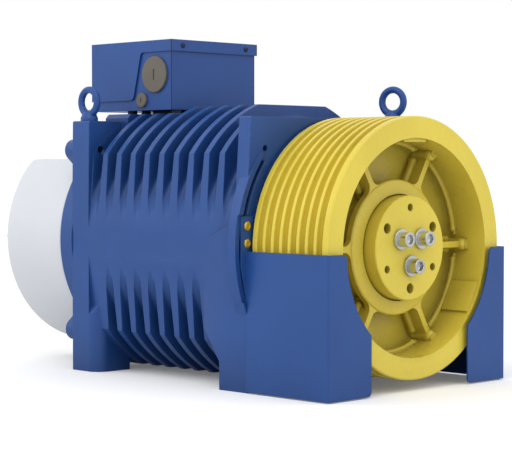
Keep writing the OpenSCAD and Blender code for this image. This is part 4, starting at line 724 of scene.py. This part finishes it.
EYE_LIFT, THREAD_R, THREAD_LONG = 0.033, 0.0059, 0.020
neck = rounded([(0, 0.0), (0.015, 0.0), (0.015, 0.0060), (0.0138, 0.0080), (0.0125, 0.0120),
                (0.0098, 0.0160), (0, 0.0160)], [0, 0.0006, 0.0012, 0.001, 0.002, 0.001, 0])
rings, necks = [], []
for mount in ("front_lifting_eye", "rear_lifting_eye"):
    centre = np.array(MOUNTS[mount]["pos_m"])
    heading = math.atan(MOUNTS[mount]["axis"][1] / MOUNTS[mount]["axis"][0])
    base = centre - (0, 0, EYE_LIFT)
    rings.append(eye_ring(centre, heading))
    necks.append(lathe(neck, base, UP, (1, 0, 0), 64))
    necks.append(shank(base + (0, 0, 0.001), UP, (1, 0, 0), THREAD_R, THREAD_LONG, 32))
build("forged_lifting_eyes", rings, forged_blue, "machine", "eyebolts", wrap_rows=True)
collars = build("forged_eye_necks", necks, forged_blue, "machine")

# %% [markdown]
# ## Brake cover with a flat top
# The cover is one sheet disc pressed over a former. That leaves a generous radius at the rear
# edge and a faint set-back ring on the flat end. It stays round at its mouth, where four screws
# hold it to the shield, and has a flat along its top, so that it clears what is mounted above.
# Each ring of the surface is a circle whose radius is held under flat / cos(angle). The two
# limits are blended by a high power, r = (R^-p + (flat / cos a)^-p)^(-1/p), which rounds the
# long corner between them as the press does.

# %% Brake cover
FLAT, FLAT_POWER = 0.142, 60.0
COLLAR, TAIL = 0.013, 0.007
WALL, DISH = 0.0025, 0.0012


def flat_topped(profile, centre, out, up, count=288):
    """Point grid of a profile [radius, height, share of the flat, flat] turned about the axis,
    with its radius held under flat / cos(angle from up) on the rows that take the flat."""
    profile = np.array(profile)
    a = np.arange(count) * 2 * np.pi / count
    full = np.repeat(np.maximum(profile[:, :1], 1e-9), count, axis=1)
    reach = profile[:, 3:] / np.maximum(np.cos(a), 0.2)
    held = (full ** -FLAT_POWER + reach ** -FLAT_POWER) ** (-1 / FLAT_POWER)
    share = profile[:, 2:3]
    radii = np.where(profile[:, :1] > 0, held * share + full * (1 - share), 0)
    return turn(centre, out, up, profile[:, 1], radii)


low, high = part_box("brake_cover")
mouth_r = (high.x - low.x) / 2
full_r = mouth_r + 0.002
length = high.y - low.y + TAIL
outside = rounded([(mouth_r, 0), (mouth_r, COLLAR), (full_r, COLLAR + 0.002), (full_r, length),
                   (mouth_r - 0.045, length), (mouth_r - 0.048, length - DISH), (0, length - DISH)],
                  [0, 0.001, 0.001, 0.011, 0.002, 0.002, 0], steps=9)
inside = rounded([(0, length - DISH - WALL), (full_r - WALL, length - WALL - DISH),
                  (full_r - WALL, COLLAR + 0.002), (mouth_r - WALL, COLLAR), (mouth_r - WALL, 0)],
                 [0, 0.009, 0.001, 0.001, 0], steps=9)
rows = [(r, h, float(h > COLLAR + 0.001), flat)
        for skin, flat in ((outside, FLAT), (inside, FLAT - WALL), (outside[:1], FLAT))
        for r, h in skin]
cover = flat_topped(rows, (0, low.y, AXIS_Z), REAR, UP)
build("spun_brake_cover", [cover], cover_coat, "machine", "brake_cover")

# %% [markdown]
# ### Brake plates below the flat
# The brake's round plates carry the same flat as the cover. Each is the exact solid's mesh,
# copied, welded and cut by one level plane, and the cut is closed again with flat faces.

# %% Flats on the brake plates
def welded(node):
    """A working copy of a solid's mesh, with the corners that its triangles share merged."""
    work = bmesh.new()
    work.from_mesh(NODES[node].data)
    bmesh.ops.remove_doubles(work, verts=work.verts, dist=1e-6)
    return work


def stand_in(name, work, node, body):
    """The object made of a changed copy of a solid's mesh, which takes the solid's place."""
    mesh = bpy.data.meshes.new(name)
    work.to_mesh(mesh)
    work.free()
    smooth(mesh, NODES[node].data.materials[0])
    piece = placed(name, mesh)
    creased(piece)
    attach(piece, body)
    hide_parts(node)
    print(f"{name}: {len(mesh.polygons)} faces")
    return mesh


def flattened(name, node, body, top):
    """A copy of a solid's mesh without what stands above the level top, closed by flat faces."""
    work = welded(node)
    cut = bmesh.ops.bisect_plane(work, geom=work.verts[:] + work.edges[:] + work.faces[:],
                                 dist=1e-7, plane_co=(0, 0, top), plane_no=UP, clear_outer=True)
    rim = [item for item in cut["geom_cut"] if isinstance(item, bmesh.types.BMEdge)]
    bmesh.ops.triangle_fill(work, use_beauty=True, use_dissolve=False, edges=rim)
    bmesh.ops.recalc_face_normals(work, faces=work.faces)
    stand_in(name, work, node, body)


PLATE_R = FLAT - 0.005
for node, body in (("armature_plate_1", "armature_1"), ("armature_plate_2", "armature_2"),
                   ("brake_magnet_1", "machine"), ("brake_magnet_2", "machine"),
                   ("brake_mid_plate", "machine")):
    flattened(f"flat_{node}", node, body, AXIS_Z + PLATE_R)

# %% [markdown]
# ### Friction discs and the nib on the cover
# The friction discs turn, so they stay round, with a radius that clears the flat: every point
# beyond it is drawn in along its own radius. A small grey nib closes the hand-release hole in
# the cover's end.

# %% Friction discs and nib
def turned_down(name, node, body, radius):
    """A copy of a solid's mesh whose rim is drawn in to a radius about the shaft's axis: the
    distance from the axis becomes the smaller of itself and the radius."""
    mesh = stand_in(name, welded(node), node, body)
    points = np.empty(len(mesh.vertices) * 3)
    mesh.vertices.foreach_get("co", points)
    points = points.reshape(-1, 3)
    spoke = points[:, ::2] - (0, AXIS_Z)
    far = np.linalg.norm(spoke, axis=1, keepdims=True)
    points[:, ::2] = (0, AXIS_Z) + spoke * np.minimum(1, radius / np.maximum(far, radius / 1e6))
    mesh.vertices.foreach_set("co", points.ravel())
    mesh.update()


for node in ("friction_disc_1", "friction_disc_2"):
    turned_down(f"small_{node}", node, "rotor", PLATE_R)

low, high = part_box("cover_plug")
STEM_R, NIB_R, nib_end = 0.0030, 0.0042, high.y - low.y - 0.0005
nib = rounded([(0, 0), (STEM_R, 0), (STEM_R, 0.0040), (NIB_R, 0.0045), (NIB_R, nib_end),
               (0, nib_end)], [0, 0, 0, 0.0004, 0.0012, 0])
foot = ((low.x + high.x) / 2, low.y, (low.z + high.z) / 2)
build("cover_nib", [lathe(nib, foot, REAR, UP, 48)], plug_grey, "machine", "cover_plug")

# %% [markdown]
# ### Screwdriver slots of the plugs
# Each blanking plug has a wide slot for a screwdriver. Its floor is in full shade, and that shade
# is painted: a dark bar with rounded ends fills the slot to just above the plug's face.

# %% Plug slots
def slot_bar(node, high_mm, wide_mm, count=24):
    """A flat bar with round ends on the -X face of a plug: two half circles joined upright."""
    low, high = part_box(node)
    a = np.arange(count) * 2 * np.pi / count
    lift = np.where(np.sin(a) >= 0, 1, -1) * (high_mm - wide_mm) / 2000
    ring = np.stack([0 * a, wide_mm / 2000 * np.cos(a), lift + wide_mm / 2000 * np.sin(a)], -1)
    middle = np.array([0, (low.y + high.y) / 2, (low.z + high.z) / 2])
    deep, face = low.x + 0.0008, low.x - 0.0001
    return np.stack([middle + (x, 0, 0) + share * ring
                     for share, x in ((0, deep), (1, deep), (1, face), (0, face))])


slots = build("plug_slots", [slot_bar("large_plug", 19.0, 3.0), slot_bar("small_plug", 8.0, 2.4)],
              black_plastic, "machine")

# %% [markdown]
# ## Painted shade in the corner seams of the terminal box
# The box and its lid are folded from sheet, and at each upright corner two flanges only meet.
# The joint is left open by a hair, and the shade inside it reads as a dark line. That shade is
# painted: each seam is a thin dark upright rod whose section is an ellipse, set into the corner
# by most of its width.

# %% Corner seams
SEAM_IN, SEAM_GAP, LID_DEEP = 0.0004, 0.0004, 0.020


def seam(corner, z0, z1, wide=0.0009, count=16):
    """An upright rod of elliptical section: (w cos a, 0.7 w sin a, z), closed at both ends."""
    a = np.arange(count) * 2 * np.pi / count
    ring = np.stack([wide * np.cos(a), 0.7 * wide * np.sin(a), 0 * a], -1)
    return np.stack([(*corner, z) + share * ring
                     for share, z in ((0.0, z0), (1.0, z0), (1.0, z1), (0.0, z1))])


seams = []
for name in ("terminal_box", "terminal_box_lid"):
    low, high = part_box(name)
    foot = low.z if name == "terminal_box" else high.z - LID_DEEP
    for x in (low.x + SEAM_IN, high.x - SEAM_IN):
        seams.append(seam((x, low.y + SEAM_IN), foot + SEAM_GAP, high.z - 2 * SEAM_GAP))
build("box_corner_seam_shade", seams, dark_shade_paint, "machine")

# %% [markdown]
# ## Studio
# An even white sky gives the soft light of a product portrait. One large lamp high on the left
# models the ribs, a weak one in front opens the sheave's dish, and a third from behind draws the
# edge of the brake cover. The floor is a light table: the camera sees it bright, while it throws
# less light back on the machine than it shows, so that the undersides keep their shade.

# %% Floor
def light_table(name, seen_level, hidden_level, glow):
    """A matt white sheet. The camera sees it bright and lit a little from below, and it returns
    less light to the machine than white paper would."""
    material, tree, shader = coat(name)
    seen = add(tree, "LightPath").outputs["Is Camera Ray"]
    level = between(tree, seen, hidden_level, seen_level, 0.0, 1.0)
    tree.links.new(level, shader.inputs["Base Color"])
    tree.links.new(between(tree, seen, 0.0, glow, 0.0, 1.0), shader.inputs["Emission Strength"])
    shader.inputs["Roughness"].default_value = 0.9
    shader.inputs["Specular IOR Level"].default_value = 0.0
    shader.inputs["Emission Color"].default_value = (1, 1, 1, 1)
    return material


REACH = 30.0
corners = [(-REACH, -REACH, 0), (REACH, -REACH, 0), (REACH, REACH, 0), (-REACH, REACH, 0)]
floor_mesh = bpy.data.meshes.new("studio_floor")
floor_mesh.from_pydata(corners, [], [(0, 1, 2, 3)])
floor_mesh.materials.append(light_table("floor_paper", 0.95, 0.76, 0.12))
floor = placed("studio_floor", floor_mesh)
floor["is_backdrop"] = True

# %% Lamps and sky
def lamp(name, place, target, size, power):
    """A square soft lamp that faces its target."""
    light = bpy.data.lights.new(name, "AREA")
    light.size, light.energy = size, power
    holder = placed(name, light)
    holder.location = place
    holder.rotation_mode = "QUATERNION"
    holder.rotation_quaternion = (Vector(target) - Vector(place)).to_track_quat("-Z", "Y")
    holder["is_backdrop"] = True


lamp("key_lamp", (-1.6, -0.9, 2.6), (0, 0, 0.2), 1.2, 13)
lamp("face_lamp", (0.6, -2.8, 1.2), (0, -0.3, 0.2), 1.4, 3)
lamp("edge_lamp", (-1.9, 1.7, 1.5), (0, -0.2, 0.2), 1.2, 4)
world = bpy.data.worlds.new("studio_sky")
bpy.context.scene.world = world
world.use_nodes = True
sky = world.node_tree.nodes["Background"]
sky.inputs["Color"].default_value = (1, 1, 1, 1)
sky.inputs["Strength"].default_value = 1.0
bpy.context.scene.view_settings.view_transform = "Standard"
print("studio ready")

# %% Camera
camera_data = bpy.data.cameras.new("camera")
camera_data.sensor_width = 36.0
camera_data.lens = 120.92
camera = placed("camera", camera_data)
azimuth, elevation = math.radians(-44.934), math.radians(2.113)
away = math.cos(elevation)
back = Vector((math.sin(azimuth) * away, -math.cos(azimuth) * away, math.sin(elevation)))
camera.location = (-2.0881, -2.1201, 0.3534)
camera.rotation_mode = "QUATERNION"
camera.rotation_quaternion = (-back).to_track_quat("-Z", "Y")
camera_data.clip_start, camera_data.clip_end = 0.05, 200
bpy.context.scene.camera = camera
print("camera", [round(v, 3) for v in camera.location], "lens", camera_data.lens)

# %% Sizes
low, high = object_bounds()
print("visual size", [round(v, 4) for v in (high - low)])
